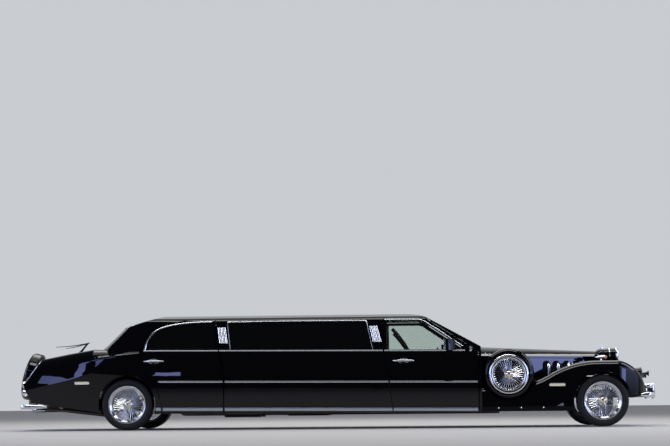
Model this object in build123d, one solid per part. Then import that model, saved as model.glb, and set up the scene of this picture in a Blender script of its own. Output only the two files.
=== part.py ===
# Stretch limousine with an old-style front: long bonnet, separate wings, side-mounted spare
# wheels, wire wheels and a leaning spare-wheel cover at the tail.
# Millimetres. +X is the front, +Y the left side, +Z up, z = 0 the ground under the tyres.
# The origin is halfway along the car, on its centre plane, on the ground.
import os
from math import atan2, cos, pi, radians, sin

from build123d import *

# Stance
WHEELBASE = 6150.0
FRONT_AXLE_X = 3497.0
REAR_AXLE_X = FRONT_AXLE_X - WHEELBASE
TRACK = 1640.0
WHEEL_Y = TRACK / 2

# Tyres and wire wheels
TYRE_R = 334.5
TYRE_WIDTH = 235.0
RIM_LIP_R = 247.0
HUB_R = 52.0
AXLE_R = 26.0
AXLE_FIT = 0.05
WHEEL_DISH = 38.0
WELL_INNER_R = 200.0
SPOKE_R = 2.5
SPOKES_A_ROW = 28
SPOKE_ROWS = [
    (((52, 64), (36, 56)), 36, 0.0),
    (((-30, 40), (-44, 32)), 32, 0.5),
]

# Wheel openings in the body sides, and the room inside them
ARCH_R = 372.0
WELL_R = 400.0
WELL_SKIN = 10.0
WELL_IN_Y = 640.0

# Body side, as seen from the front; the belt falls a little towards the front
BELT_Z = 999.0
BELT_FALL = 0.0085
SILL_Z = 212.0
SIDE_Y = 972.0
SILL_Y = 940.0
BELT_Y = 932.0
DOOR_THICK = 108.0
BODY_REAR_X = REAR_AXLE_X + 153
BODY_FRONT_X = 1950.0

# Glasshouse
ROOF_Z = 1515.0
ROOF_RAIL_Z = 1405.0
ROOF_RAIL_Y = 748.0
GLASS_FOOT_Y = 918.0
GLASS_FOOT_Z = 960.0
ROOF_THICK = 45.0
ROOF_SPARE = 4.0
GLASS_THICK = 6.0
GLASS_INSET = 14.0

# Front foot of the middle window
MIDDLE_FRONT_X = 540.0

# Gaps
DOOR_GAP = 6.0
HINGE_GAP = 14.0
LID_GAP = 6.0
SEAT_GAP = 0.3
SILL_IN_Y = 822.0
ENGINE_Z = 380.0

# Doors, side view
FRONT_DOOR_X = (810.0, 1905.0)
REAR_DOOR_X = (REAR_AXLE_X + 473, REAR_AXLE_X + 1261)
DOOR_TOP_Z = 1432.0

# Door hinges: an eye on a bent lug, in a notch of the door's front edge
HINGE_Y = 952.0
HINGE_SETBACK = 20.0
HINGE_Z = (420.0, 700.0)
HINGE_EYE_R = 9.0
HINGE_PIN_R = 4.0
HINGE_HALF = 20.0
HINGE_FIT = 0.05
LUG_HALF = 5.0
LUG_IN_Y = 835.0
LUG_FOOT_Y = 885.0

# Knuckles of the bonnet's and the boot lid's hinges, and the leaves they are rolled from
KNUCKLE_R = 6.0
KNUCKLE_PIN_R = 2.5
LEAF_LENGTH = 20.0
LEAF_THICK = 12.0

# Bonnet
HOOD_REAR_X = 1962.0
HOOD_FRONT_X = 3560.0
HOOD_REAR_Y = 690.0
HOOD_FRONT_Y = 285.0
HOOD_REAR_TOP_Z = 1063.0
HOOD_FRONT_TOP_Z = 988.0
HOOD_EDGE_Z = (928.0, 915.0)
HOOD_THICK = 20.0
HOOD_PLATE = 18.0
VENT_X = (2820.0, 2950.0, 3090.0, 3210.0)
VENT_WIDTH = 104.0
VENT_TOP_Z = 862.0
VENT_FOOT_Z = 705.0
PIPE_R = 25.0

# Front wings
WING_Y = 950.0
WING_INNER_Y = 520.0
WING_THICK = 24.0
WING_CROWN_Z = 848.0
WING_ROUND = 95.0
WING_TIP_X = 4067.0
SKIRT_Z = 206.0
WING_LIP_Z = 415.0
APRON_THICK = 15.0

# Side-mounted spare wheels
SPARE_X = 2300.0
SPARE_Z = 683.0
SPARE_R = 332.0
SPARE_OUT_Y = 930.0
SPARE_THICK = 190.0
SPARE_WELL_GAP = 8.0

# Tail
DECK_Z = 1062.0
DECK_FRONT_X = REAR_AXLE_X - 467
DECK_REAR_X = REAR_AXLE_X - 1117
TAIL_X = REAR_AXLE_X - 1387
TAIL_Z = 605.0
TAIL_THICK = 60.0
SHELF_FRONT_X = REAR_AXLE_X - 267
LID_HALF_Y = 560.0
LID_THICK = 22.0

# Leaning spare-wheel cover at the tail
COVER_R = 322.0
COVER_THICK = 130.0
COVER_DOME = 45.0
COVER_LEAN = 13.9
COVER_X = REAR_AXLE_X - 1394
COVER_Z = 705.0

# Chassis
RAIL_Y = 430.0
RAIL_W = 70.0
RAIL_H = 100.0
RAIL_Z = 225.0
FRAME_FRONT_X = FRONT_AXLE_X + 503
REAR_KICK = 210.0
FLOOR_Z = RAIL_Z + RAIL_H
FLOOR_THICK = 25.0

# Exhausts
EXHAUST_Y = 300.0
EXHAUST_R = 24.0
EXHAUST_Z = 203.0
TAILPIPE_Z = 269.0


def outline(start, *steps):
    """Closed face: a step is a point for a straight side, or (through, end) for an arc."""
    here = start
    edges = []
    for step in steps:
        if isinstance(step[0], tuple):
            through, end = step
            edges.append(ThreePointArc(here, through, end))
        else:
            end = step
            edges.append(Line(here, end))
        here = end
    if here != start:
        edges.append(Line(here, start))
    return make_face(edges)


def side_prism(y_low, y_high, face):
    """A side-view outline, local (x, z), between two distances from the centre plane."""
    return extrude(Plane.XZ.offset(-y_high) * face, y_high - y_low)


def front_prism(x_low, x_high, face):
    """A front-view outline, local (y, z), between two stations along the car."""
    return extrude(Plane.YZ.offset(x_low) * face, x_high - x_low)


def plan_prism(z_low, z_high, face):
    """A plan outline, local (x, y), between two heights."""
    return extrude(Plane.XY.offset(z_low) * face, z_high - z_low)


def block(x_low, x_high, y_low, y_high, z_low, z_high):
    """A box given by its limits."""
    size = (x_high - x_low, y_high - y_low, z_high - z_low)
    centre = ((x_low + x_high) / 2, (y_low + y_high) / 2, (z_low + z_high) / 2)
    return Pos(*centre) * Box(*size)


def rod(start, end, radius):
    """A round bar between two points."""
    start, end = Vector(*start), Vector(*end)
    plane = Plane(origin=start, z_dir=end - start)
    return extrude(plane * Circle(radius), (end - start).length)


def dome(rim, tip):
    """The arc step from a rim point (along, radius) to a tip on the axis, square to the axis."""
    depth = tip[0] - rim[0]
    round_r = (depth ** 2 + rim[1] ** 2) / (2 * depth)
    half_angle = atan2(rim[1], round_r - depth) / 2 if depth > 0 else 0
    if depth < 0:
        half_angle = atan2(rim[1], depth - round_r) / 2
    through = (tip[0] - round_r + round_r * cos(half_angle), abs(round_r) * sin(half_angle))
    return (through, tip)


def drum(x, z, radius, y_low, y_high):
    """A cylinder across the car."""
    return rod((x, y_low, z), (x, y_high, z), radius)


def other_side(shape):
    """The same piece on the right side."""
    return mirror(shape, about=Plane.XZ)


def pair(shape):
    """A left piece and its mirror image."""
    return [shape, other_side(shape)]


nodes = {}


def node(name, *shapes):
    """Keep the solids of one named piece."""
    solids = []
    for shape in shapes:
        solids += list(shape.solids())
    nodes[name] = solids


def belt_run(face, x_rear, x_front):
    """Draw a body-side section along the car, falling with the belt towards the front."""
    start = Pos(x_rear, 0, -BELT_FALL * x_rear) * (Plane.YZ * face)
    length = x_front - x_rear
    return Part() + Solid.extrude(start.face(), Vector(length, 0, -BELT_FALL * length))


def half_body_section(inset):
    """Left half of the lower body's section, whole to the centre plane."""
    return outline(
        (0, SILL_Z - 60),
        (SILL_Y - inset, SILL_Z - 60),
        (SILL_Y + 22 - inset, SILL_Z + 90),
        ((SIDE_Y - inset, 620), (BELT_Y - inset, BELT_Z)),
        (0, BELT_Z),
    )


def glasshouse_section(inset):
    """The glasshouse seen from the front: leaning sides, rounded rails, low-crowned roof."""
    rail_y, rail_z = ROOF_RAIL_Y - inset, ROOF_RAIL_Z - inset / 3
    foot = GLASS_FOOT_Y - inset
    return outline(
        (-foot, GLASS_FOOT_Z),
        (-rail_y, rail_z),
        ((-rail_y + 30, rail_z + 42), (-rail_y + 108, rail_z + 66)),
        ((0, ROOF_Z - inset), (rail_y - 108, rail_z + 66)),
        ((rail_y - 30, rail_z + 42), (rail_y, rail_z)),
        (foot, GLASS_FOOT_Z),
    )


# Windscreen, roof and backlight line, side view
SCREEN_FOOT = (1887.0, 1080.0)
SCREEN_TOP = (1247.0, 1440.0)
ROOF_FRONT_X = 850.0
ROOF_REAR_X = REAR_AXLE_X + 753
BACK_TOP = (REAR_AXLE_X - 177, 1352.0)
BACK_THROUGH = (REAR_AXLE_X + 183, 1466.0)
BACK_FOOT = (REAR_AXLE_X - 467, 1062.0)
BACK_ROUND_R = 2000.0


def front_side(inset):
    """The glasshouse's windscreen and roof lines, run on straight behind the back window."""
    slope = inset * 1.15
    top = ROOF_Z + ROOF_SPARE - inset
    return outline(
        (SCREEN_FOOT[0] + 63 - slope * 2, GLASS_FOOT_Z - inset),
        (SCREEN_FOOT[0] + 60 - slope * 2, SCREEN_FOOT[1] - 35),
        (SCREEN_FOOT[0] - slope * 2, SCREEN_FOOT[1]),
        (SCREEN_TOP[0] - slope * 2, SCREEN_TOP[1]),
        (((SCREEN_TOP[0] + ROOF_FRONT_X) / 2 - slope, ROOF_Z - 22 - inset), (ROOF_FRONT_X - slope, top)),
        (BACK_FOOT[0] - 200, top),
        (BACK_FOOT[0] - 200, GLASS_FOOT_Z - inset),
    )


def back_round(inset):
    """The room inside the back window's line, turned about an upright axis far ahead of it."""
    slope = inset * 1.15
    top = ROOF_Z + 2 * ROOF_SPARE - inset
    axis_x = BACK_FOOT[0] + BACK_ROUND_R
    side = outline(
        (axis_x, GLASS_FOOT_Z - inset - 10),
        (axis_x, top),
        (ROOF_REAR_X + slope, top),
        (
            (BACK_THROUGH[0] + slope / 2, BACK_THROUGH[1] - inset),
            (BACK_TOP[0] + slope, BACK_TOP[1] - inset / 2),
        ),
        (BACK_FOOT[0] + slope * 1.3, BACK_FOOT[1]),
        (BACK_FOOT[0] + slope * 1.3, GLASS_FOOT_Z - inset - 10),
    )
    room = revolve(Plane.XZ * side, Axis((axis_x, 0, 0), (0, 0, 1)), 360)
    return room + block(axis_x, 2100, -1000, 1000, GLASS_FOOT_Z - inset - 10, top)


def glasshouse(inset):
    """The whole glasshouse as a solid, or with an inset the hollow inside it."""
    sides = front_prism(REAR_AXLE_X - 647, 2100, glasshouse_section(inset))
    return side_prism(-1000, 1000, front_side(inset)) & sides & back_round(inset)


# Body side wall and glasshouse shell
lower_half = belt_run(half_body_section(0), BODY_REAR_X, BODY_FRONT_X)
lower_room = belt_run(half_body_section(DOOR_THICK), BODY_REAR_X - 1, BODY_FRONT_X + 1)
wall_above = block(BODY_REAR_X - 5, BODY_FRONT_X + 5, -1, BELT_Y - DOOR_THICK, 900, 1100)
lower_side = lower_half - lower_room - wall_above
lower_side = lower_side & block(BODY_REAR_X, BODY_FRONT_X, 0, 1000, SILL_Z, 1100)

house_outer = glasshouse(0)
house_shell = house_outer - glasshouse(ROOF_THICK)


# Tail: sections from the rear doors to the rear panel
def tail_section(x, deck_z, deck_y, shoulder, side, sill, inset):
    """Half section of the boot and rear quarter; shoulder, side and sill are (y, z)."""
    top = deck_z - inset
    middle_y = (deck_y + shoulder[0]) / 2 + (shoulder[0] - deck_y) * 0.17 - inset
    middle_z = (top + shoulder[1]) / 2 + (top - shoulder[1]) * 0.17
    face = outline(
        (0, sill[1] + inset),
        (sill[0] - inset, sill[1] + inset),
        (side[0] - inset, side[1]),
        (shoulder[0] - inset, shoulder[1]),
        ((middle_y, middle_z), (deck_y - inset / 2, top)),
        (0, top),
    )
    return Plane.YZ.offset(x) * face


# station x, deck height, deck half width, shoulder, side, sill
TAIL_SECTIONS = [
    (BODY_REAR_X, 1022, 895, (932, 990), (970, 690), (941, 190)),
    (DECK_FRONT_X, DECK_Z, 690, (920, 905), (964, 745), (930, 190)),
    (REAR_AXLE_X - 807, 1010, 625, (872, 845), (950, 650), (908, 190)),
    (TAIL_X, 905, 540, (790, 745), (893, 520), (850, 190)),
]


def tail_solid(inset):
    """The left half of the tail as a solid, cut to its side view."""
    body = Part()
    for rear, front in zip(TAIL_SECTIONS[1:], TAIL_SECTIONS[:-1]):
        body += loft([tail_section(*rear, inset), tail_section(*front, inset)], ruled=True)
    profile = outline(
        (BODY_REAR_X, SILL_Z + inset),
        (REAR_AXLE_X - 330, 228 + inset),
        (REAR_AXLE_X - 987 + inset / 2, 325 + inset),
        (REAR_AXLE_X - 1267 + inset, 366 + inset),
        (TAIL_X + inset, TAIL_Z),
        (REAR_AXLE_X - 1307 + inset, 712),
        (REAR_AXLE_X - 1192 + inset, 900 - inset / 2),
        ((REAR_AXLE_X - 1165 + inset, 934 - inset), (DECK_REAR_X + inset, 957 - inset)),
        (DECK_FRONT_X, DECK_Z + 60),
        (BODY_REAR_X, DECK_Z + 60),
    )
    return body & side_prism(-1, 1000, profile)


tail_outer = tail_solid(0)
tail_room = tail_solid(TAIL_THICK) & block(TAIL_X, BODY_REAR_X, -5, 1000, 100, 1100)
tail_room += block(SHELF_FRONT_X, BODY_REAR_X + 1, -5, BELT_Y - DOOR_THICK, 400, 1100)
tail_shell = tail_outer - tail_room - block(DECK_FRONT_X + 80, BODY_REAR_X + 1, -5, 824, 0, 400)

# Outlines of the doors and windows, side view (local x, z)
front_door_face = outline(
    (FRONT_DOOR_X[0], SILL_Z),
    (762, 600),
    (692, 1000),
    (692, DOOR_TOP_Z),
    (1170, DOOR_TOP_Z),
    ((1235, 1424), (1300, 1378)),
    (1800, 1052),
    (FRONT_DOOR_X[1], 985),
    (FRONT_DOOR_X[1], SILL_Z),
)
front_window_face = outline(
    (735, 1016),
    (735, 1398),
    (1130, 1398),
    ((1190, 1388), (1250, 1352)),
    (1690, 1062),
    (1690, 1010),
)
rear_door_face = outline(
    (REAR_DOOR_X[1], SILL_Z),
    (REAR_DOOR_X[1], 720),
    (REAR_AXLE_X + 1191, 1012),
    (REAR_AXLE_X + 1121, DOOR_TOP_Z),
    (REAR_AXLE_X + 953, DOOR_TOP_Z),
    ((REAR_AXLE_X + 663, 1412), (REAR_AXLE_X + 383, 1352)),
    ((REAR_AXLE_X + 256, 1270), (REAR_AXLE_X + 206, 1140)),
    (REAR_AXLE_X + 171, 1025),
    ((REAR_AXLE_X + 233, 760), (REAR_AXLE_X + 381, 571)),
    ((REAR_AXLE_X + 438, 400), (REAR_DOOR_X[0], SILL_Z)),
)
rear_window_face = outline(
    (REAR_AXLE_X + 1148, 1036),
    (REAR_AXLE_X + 1093, 1392),
    (REAR_AXLE_X + 953, 1392),
    ((REAR_AXLE_X + 673, 1372), (REAR_AXLE_X + 403, 1315)),
    ((REAR_AXLE_X + 290, 1240), (REAR_AXLE_X + 248, 1130)),
    (REAR_AXLE_X + 233, 1042),
)
middle_window_face = outline(
    (REAR_AXLE_X + 1333, 1036),
    (REAR_AXLE_X + 1281, 1396),
    (MIDDLE_FRONT_X - 80, 1396),
    (MIDDLE_FRONT_X, 1020),
)

# Rooms for the doors to sit and swing in
front_door_room = offset(front_door_face, DOOR_GAP)
front_door_room += Pos(HINGE_GAP - DOOR_GAP, 0) * front_door_room
rear_door_room = offset(rear_door_face, DOOR_GAP)
rear_door_room += Pos(HINGE_GAP - DOOR_GAP, 0) * rear_door_room
door_rooms = side_prism(600, 1100, front_door_room) + side_prism(600, 1100, rear_door_room)

screen_plan = front_prism(
    900, 2100, outline((-745, 1090), (-640, 1420), (640, 1420), (745, 1090))
)
back_plan = front_prism(
    REAR_AXLE_X - 647, REAR_AXLE_X + 153, outline((-640, 1100), (-560, 1350), (560, 1350), (640, 1100))
)
screen_opening = screen_plan & block(1200, 2100, -800, 800, 1000, 1500)
back_opening = back_plan & block(REAR_AXLE_X - 647, REAR_AXLE_X - 47, -800, 800, 1000, 1500)
house_sides = house_outer - front_prism(REAR_AXLE_X - 647, 2100, glasshouse_section(ROOF_THICK))
side_wall_strip = block(REAR_AXLE_X + 163, 1800, 640, 1000, 960, DOOR_TOP_Z)

# Skins a little inside the glasshouse's surface, for the glass
glass_skin = glasshouse(GLASS_INSET) - glasshouse(GLASS_INSET + GLASS_THICK)


def hinge_lugs(front_x, reach):
    """The body's two lugs for a left door whose front edge is at front_x."""
    pivot_x = front_x - HINGE_SETBACK
    lugs = Part()
    for z in HINGE_Z:
        low, high = z - HINGE_HALF, z + HINGE_HALF
        lugs += block(pivot_x - LUG_HALF, pivot_x + LUG_HALF, LUG_IN_Y, HINGE_Y, low, high)
        lugs += block(pivot_x - LUG_HALF, front_x + HINGE_GAP + reach, LUG_IN_Y, LUG_IN_Y + 16, low, high)
        lugs += block(
            front_x + HINGE_GAP, front_x + HINGE_GAP + reach, LUG_IN_Y, LUG_FOOT_Y, low, high
        )
        lugs += rod((pivot_x, HINGE_Y, low), (pivot_x, HINGE_Y, high), HINGE_EYE_R)
        lugs += rod((pivot_x, HINGE_Y, low - 10), (pivot_x, HINGE_Y, high + 10), HINGE_PIN_R)
    return lugs


def hinge_notches(front_x):
    """What the lugs need cut out of the door: notches, eye rooms and pin bores."""
    pivot_x = front_x - HINGE_SETBACK
    rooms = Part()
    for z in HINGE_Z:
        low, high = z - HINGE_HALF - 2, z + HINGE_HALF + 2
        rooms += block(pivot_x - LUG_HALF - 6, front_x + 5, 800, HINGE_Y + 5, low, high)
        rooms += rod((pivot_x, HINGE_Y, low), (pivot_x, HINGE_Y, high), HINGE_EYE_R + 1)
        rooms += rod(
            (pivot_x, HINGE_Y, low - 10), (pivot_x, HINGE_Y, high + 10), HINGE_PIN_R + HINGE_FIT
        )
    return rooms


def knuckle(x, z, y_low, y_high, way):
    """A cross hinge's knuckle with its leaf; way is +1 where the leaf runs forward."""
    leaf_x = sorted((x, x + way * LEAF_LENGTH))
    leaf = block(*leaf_x, y_low, y_high, z - LEAF_THICK, z - 2)
    return rod((x, y_low, z), (x, y_high, z), KNUCKLE_R) + leaf


def knuckle_room(x, z, y_low, y_high, way):
    """The room that a knuckle and its leaf need in the other leaf's piece."""
    leaf_x = sorted((x - way * (KNUCKLE_R + 2), x + way * (LEAF_LENGTH + 2)))
    return block(*leaf_x, y_low - 1, y_high + 1, z - LEAF_THICK - 2, z + KNUCKLE_R + 2)


# Doors
def door(face, window_face):
    """One left door: its lower shell and its window frame in one welded piece."""
    body = lower_side + ((house_sides & side_wall_strip) - lower_half)
    body = body & side_prism(600, 1100, face)
    return body - side_prism(600, 1100, window_face) - hinge_notches(face.bounding_box().max.X)


def window_glass(window_face):
    """The pane that fills one left window."""
    return glass_skin & side_prism(600, 1100, window_face)


front_door = door(front_door_face, front_window_face)
rear_door = door(rear_door_face, rear_window_face)
for side, place in (("left", lambda shape: shape), ("right", other_side)):
    node("front_door_" + side, place(front_door))
    node("rear_door_" + side, place(rear_door))
    node("front_door_glass_" + side, place(window_glass(front_window_face)))
    node("rear_door_glass_" + side, place(window_glass(rear_window_face)))

# Door mirrors and handles
HANDLE_OUT = 26.0


def handle(x_rear, x_front, z, skin_y):
    """A pull handle on its two feet."""
    bar = plan_prism(
        z - 14,
        z + 14,
        outline(
            (x_rear, skin_y + HANDLE_OUT - 8),
            ((x_rear + 60, skin_y + HANDLE_OUT), (x_front - 8, skin_y + HANDLE_OUT - 8)),
            (x_front, skin_y + HANDLE_OUT - 14),
            (x_front, skin_y + HANDLE_OUT - 18),
            (x_rear, skin_y + HANDLE_OUT - 18),
        ),
    )
    for x in (x_rear + 20, x_front - 20):
        bar += block(x - 14, x + 14, skin_y - 30, skin_y + HANDLE_OUT - 17, z - 10, z + 10)
    return bar - front_door - rear_door


mirror_body = plan_prism(
    995,
    1140,
    outline((1470, 960), ((1475, 1080), (1490, 1132)), (1510, 1132), ((1600, 1080), (1605, 960))),
)
mirror_foot = block(1500, 1580, 895, 965, 975, 1008) - front_door
for side, place in (("left", lambda shape: shape), ("right", other_side)):
    node("door_mirror_" + side, place(mirror_body + mirror_foot - front_door))
    node("front_door_handle_" + side, place(handle(811, 1083, 869, 958)))
    node("rear_door_handle_" + side, place(handle(REAR_AXLE_X + 220, REAR_AXLE_X + 481, 892, 956)))

# Roof, pillars and sail panels in one welded piece
roof = house_shell - lower_half - other_side(lower_half) - tail_outer - other_side(tail_outer)
for opening in (door_rooms, side_prism(600, 1100, middle_window_face)):
    roof = roof - opening - other_side(opening)
roof = roof - screen_opening - back_opening
roof = roof - block(REAR_AXLE_X - 647, 2100, -1100, 1100, 0, GLASS_FOOT_Z + 10)
node("roof_and_pillars", roof)
node("fixed_glass", *pair(window_glass(middle_window_face)), glass_skin & back_opening)
node("windscreen", glass_skin & screen_opening)

# Stretch side panels and rear quarters
side_panels = lower_side - door_rooms
rear_arch = drum(REAR_AXLE_X, TYRE_R, ARCH_R, 640, 1100)
stretch_panel = side_panels & block(REAR_AXLE_X + 1153, 850, 0, 1100, 0, 1100)
quarter = (tail_shell + (side_panels & block(BODY_REAR_X - 1, REAR_AXLE_X + 553, 0, 1100, 0, 1100)))
wheelhouse = drum(REAR_AXLE_X, TYRE_R, WELL_R + WELL_SKIN, WELL_IN_Y, 925) - drum(
    REAR_AXLE_X, TYRE_R, WELL_R, WELL_IN_Y + WELL_SKIN, 1000
)
wheelhouse = (wheelhouse & block(REAR_AXLE_X - 547, REAR_AXLE_X + 553, 0, 1000, 420, 1000)) - tail_shell
quarter = quarter + (wheelhouse & tail_outer) - door_rooms - rear_arch
lid_plan = plan_prism(
    800,
    1200,
    outline(
        (REAR_AXLE_X - 1142, -1),
        (REAR_AXLE_X - 1142, LID_HALF_Y - 60),
        (REAR_AXLE_X - 487, LID_HALF_Y),
        (REAR_AXLE_X - 487, -1),
    ),
)
lid_room = plan_prism(
    780,
    1200,
    outline(
        (REAR_AXLE_X - 1142 - LID_GAP, -1),
        (REAR_AXLE_X - 1142 - LID_GAP, LID_HALF_Y - 60 + LID_GAP),
        (REAR_AXLE_X - 487 + LID_GAP, LID_HALF_Y + LID_GAP),
        (REAR_AXLE_X - 487 + LID_GAP, -1),
    ),
)
quarter = quarter - lid_room
# The quarter ends at the rear panel, which fills the middle of the tail
rear_panel_room = block(REAR_AXLE_X - 1547, REAR_AXLE_X - 1047, -1, 600, 100, 1100)
LID_HINGE = (REAR_AXLE_X - 484, DECK_Z)
quarter -= knuckle_room(*LID_HINGE, 280, 320, -1)
for y in (240, 320):
    quarter += knuckle(*LID_HINGE, y, y + 40, 1)
quarter += rod((LID_HINGE[0], 270, LID_HINGE[1]), (LID_HINGE[0], 330, LID_HINGE[1]), KNUCKLE_PIN_R)
node("quarter_left", quarter - rear_panel_room)
node("quarter_right", other_side(quarter - rear_panel_room))
rear_panel = quarter & rear_panel_room
node("rear_panel", rear_panel + other_side(rear_panel))
stretch_panel += hinge_lugs(REAR_DOOR_X[1], 60)
node("stretch_panels", *pair(stretch_panel))

# Boot lid
lid_skin = tail_outer - (tail_solid(LID_THICK))
lid = lid_skin & lid_plan
for y in (240, 320):
    lid -= knuckle_room(*LID_HINGE, y, y + 40, 1)
lid += knuckle(*LID_HINGE, 281.2, 318.8, -1)
lid -= drum(*LID_HINGE, KNUCKLE_PIN_R + HINGE_FIT, 270, 330)
node("boot_lid", lid + other_side(lid))

# Cowl and firewall
cowl_plate = lower_half & block(FRONT_DOOR_X[1] + HINGE_GAP, BODY_FRONT_X, -1, 1000, SILL_Z, 1100)
cowl_plate += hinge_lugs(FRONT_DOOR_X[1], 5)
cowl_top = front_prism(
    1830,
    BODY_FRONT_X,
    outline((-660, 960), (-660, 1000), ((0, HOOD_REAR_TOP_Z - 4), (660, 1000)), (660, 960)),
)
cowl = cowl_plate + other_side(cowl_plate) + cowl_top - house_outer
for y in (-RAIL_Y, RAIL_Y):
    cowl -= block(1900, 2000, y - RAIL_W / 2, y + RAIL_W / 2, SILL_Z - 20, RAIL_Z + RAIL_H)
for y in (-EXHAUST_Y, EXHAUST_Y):
    cowl -= block(1900, 2000, y - EXHAUST_R - 10, y + EXHAUST_R + 10, SILL_Z - 20, EXHAUST_Z + EXHAUST_R + 8)
HOOD_HINGE = (BODY_FRONT_X + KNUCKLE_R, HOOD_REAR_TOP_Z + 3)
cowl -= knuckle_room(*HOOD_HINGE, -20, 20, 1)
for y in (-60, 20):
    cowl += knuckle(*HOOD_HINGE, y, y + 40, -1)
cowl += rod((HOOD_HINGE[0], -30, HOOD_HINGE[1]), (HOOD_HINGE[0], 30, HOOD_HINGE[1]), KNUCKLE_PIN_R)
node("cowl", cowl)


# Bonnet
def hood_section(x, half, edge_z, top_z):
    """The bonnet's arched section."""
    face = outline(
        (-half, edge_z),
        ((0, top_z), (half, edge_z)),
        (half, edge_z - HOOD_THICK),
        ((0, top_z - HOOD_THICK), (-half, edge_z - HOOD_THICK)),
    )
    return Plane.YZ.offset(x) * face


hood = loft(
    [
        hood_section(HOOD_REAR_X, HOOD_REAR_Y, HOOD_EDGE_Z[0], HOOD_REAR_TOP_Z),
        hood_section(HOOD_FRONT_X, HOOD_FRONT_Y, HOOD_EDGE_Z[1], HOOD_FRONT_TOP_Z),
    ],
    ruled=True,
)
for y in (-60, 20):
    hood -= knuckle_room(*HOOD_HINGE, y, y + 40, -1)
hood += knuckle(*HOOD_HINGE, -18.8, 18.8, 1)
hood -= drum(*HOOD_HINGE, KNUCKLE_PIN_R + HINGE_FIT, -30, 30)
node("bonnet", hood)


def hood_half_y(x):
    """Half width of the bonnet at a station."""
    share = (x - HOOD_REAR_X) / (HOOD_FRONT_X - HOOD_REAR_X)
    return HOOD_REAR_Y + share * (HOOD_FRONT_Y - HOOD_REAR_Y)


side_top = (HOOD_EDGE_Z[0] - HOOD_THICK - LID_GAP, HOOD_EDGE_Z[1] - HOOD_THICK - LID_GAP)
hood_side = plan_prism(
    400,
    1000,
    outline(
        (BODY_FRONT_X, HOOD_REAR_Y),
        (HOOD_REAR_X, HOOD_REAR_Y),
        (HOOD_FRONT_X, HOOD_FRONT_Y),
        (HOOD_FRONT_X + LID_GAP, HOOD_FRONT_Y - 1),
        (HOOD_FRONT_X + LID_GAP, HOOD_FRONT_Y - HOOD_PLATE),
        (HOOD_REAR_X, HOOD_REAR_Y - HOOD_PLATE),
        (BODY_FRONT_X, HOOD_REAR_Y - HOOD_PLATE),
    ),
) & side_prism(
    0,
    800,
    outline(
        (BODY_FRONT_X, 510), (BODY_FRONT_X, side_top[0]), (HOOD_FRONT_X + LID_GAP, side_top[1]),
        (HOOD_FRONT_X + LID_GAP, 690), (3000, 690), (2550, 560), (HOOD_REAR_X, 510),
    ),
)
vent_half = VENT_WIDTH / 2
for x in VENT_X:
    hood_side -= side_prism(
        0,
        800,
        outline(
            (x - vent_half, VENT_FOOT_Z + 20),
            (x - vent_half, VENT_TOP_Z - vent_half),
            ((x, VENT_TOP_Z), (x + vent_half, VENT_TOP_Z - vent_half)),
            (x + vent_half, VENT_FOOT_Z + 20),
        ),
    )
node("bonnet_sides", *pair(hood_side))

# Radiator shell with upright slats
RADIATOR_FRONT_X = 3650.0
shell_face = outline(
    (-270, 420), (-285, 900), ((-270, 955), (-205, 975)), ((0, 1004), (205, 975)),
    ((270, 955), (285, 900)), (270, 420),
)
grille_face = outline(
    (-232, 450), (-246, 890), ((-236, 925), (-190, 938)), ((0, 962), (190, 938)),
    ((236, 925), (246, 890)), (232, 450),
)
radiator = front_prism(HOOD_FRONT_X + LID_GAP, RADIATOR_FRONT_X, shell_face)
radiator -= front_prism(HOOD_FRONT_X + 40, RADIATOR_FRONT_X + 1, grille_face)
slats = Part()
for count in range(-9, 10):
    slats += block(RADIATOR_FRONT_X - 30, RADIATOR_FRONT_X - 8, count * 24 - 4, count * 24 + 4, 440, 965)
slats = slats & front_prism(HOOD_FRONT_X, RADIATOR_FRONT_X, offset(grille_face, 2))
cap = rod((3606, 0, 1000), (3606, 0, 1042), 24) + rod((3606, 0, 1040), (3606, 0, 1082), 5)
node("radiator_shell", radiator + slats + cap)

# Splash aprons between the bonnet sides and the wings
apron_face = outline(
    (HOOD_REAR_X, 495), (2550, 545), (3000, 675), (3700, 675),
    (3700, 675 + APRON_THICK), (3000, 675 + APRON_THICK), (2550, 545 + APRON_THICK),
    (HOOD_REAR_X, 495 + APRON_THICK),
)
apron = side_prism(200, WING_INNER_Y, apron_face) - plan_prism(
    400,
    900,
    outline(
        (HOOD_REAR_X - 10, HOOD_REAR_Y), (HOOD_FRONT_X, HOOD_FRONT_Y), (HOOD_FRONT_X + 60, HOOD_FRONT_Y),
        (HOOD_FRONT_X + 60, 0), (HOOD_REAR_X - 10, 0),
    ),
)

# Exhaust pipes that leave the bonnet side through the arched openings
under_apron = Pos(0, 0, SEAT_GAP) * side_prism(
    0,
    900,
    outline(
        (HOOD_REAR_X, 400), (HOOD_REAR_X, 495 + APRON_THICK), (2550, 545 + APRON_THICK),
        (3000, 675 + APRON_THICK), (3700, 675 + APRON_THICK), (3700, 400),
    ),
)
pipes = []
for x in VENT_X:
    wall_y = hood_half_y(x) - HOOD_PLATE
    pipe_x = x + vent_half - PIPE_R - 4
    drop_y = wall_y + 62
    path = FilletPolyline(
        (pipe_x, wall_y - 60, 812), (pipe_x, drop_y, 812), (pipe_x, drop_y, 580), radius=45
    )
    start = Plane(origin=(pipe_x, wall_y - 60, 812), z_dir=(0, 1, 0))
    pipes.append(sweep(start * Circle(PIPE_R), path=path) - under_apron)


# Front wings
def wing_side(drop):
    """The wing's side view; a drop gives the hollow under it."""
    return outline(
        (BODY_FRONT_X - drop, 100),
        (BODY_FRONT_X - drop, 510 - drop),
        (2450, 545 - drop),
        ((2652, 594 - drop), (2840, 685 - drop)),
        ((3130, 805 - drop), (3450, WING_CROWN_Z - drop)),
        (3700, WING_CROWN_Z - drop),
        ((3935 - drop * 0.6, 735 - drop * 0.6), (WING_TIP_X - drop, 510)),
        (WING_TIP_X - drop, 100),
    )


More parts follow.
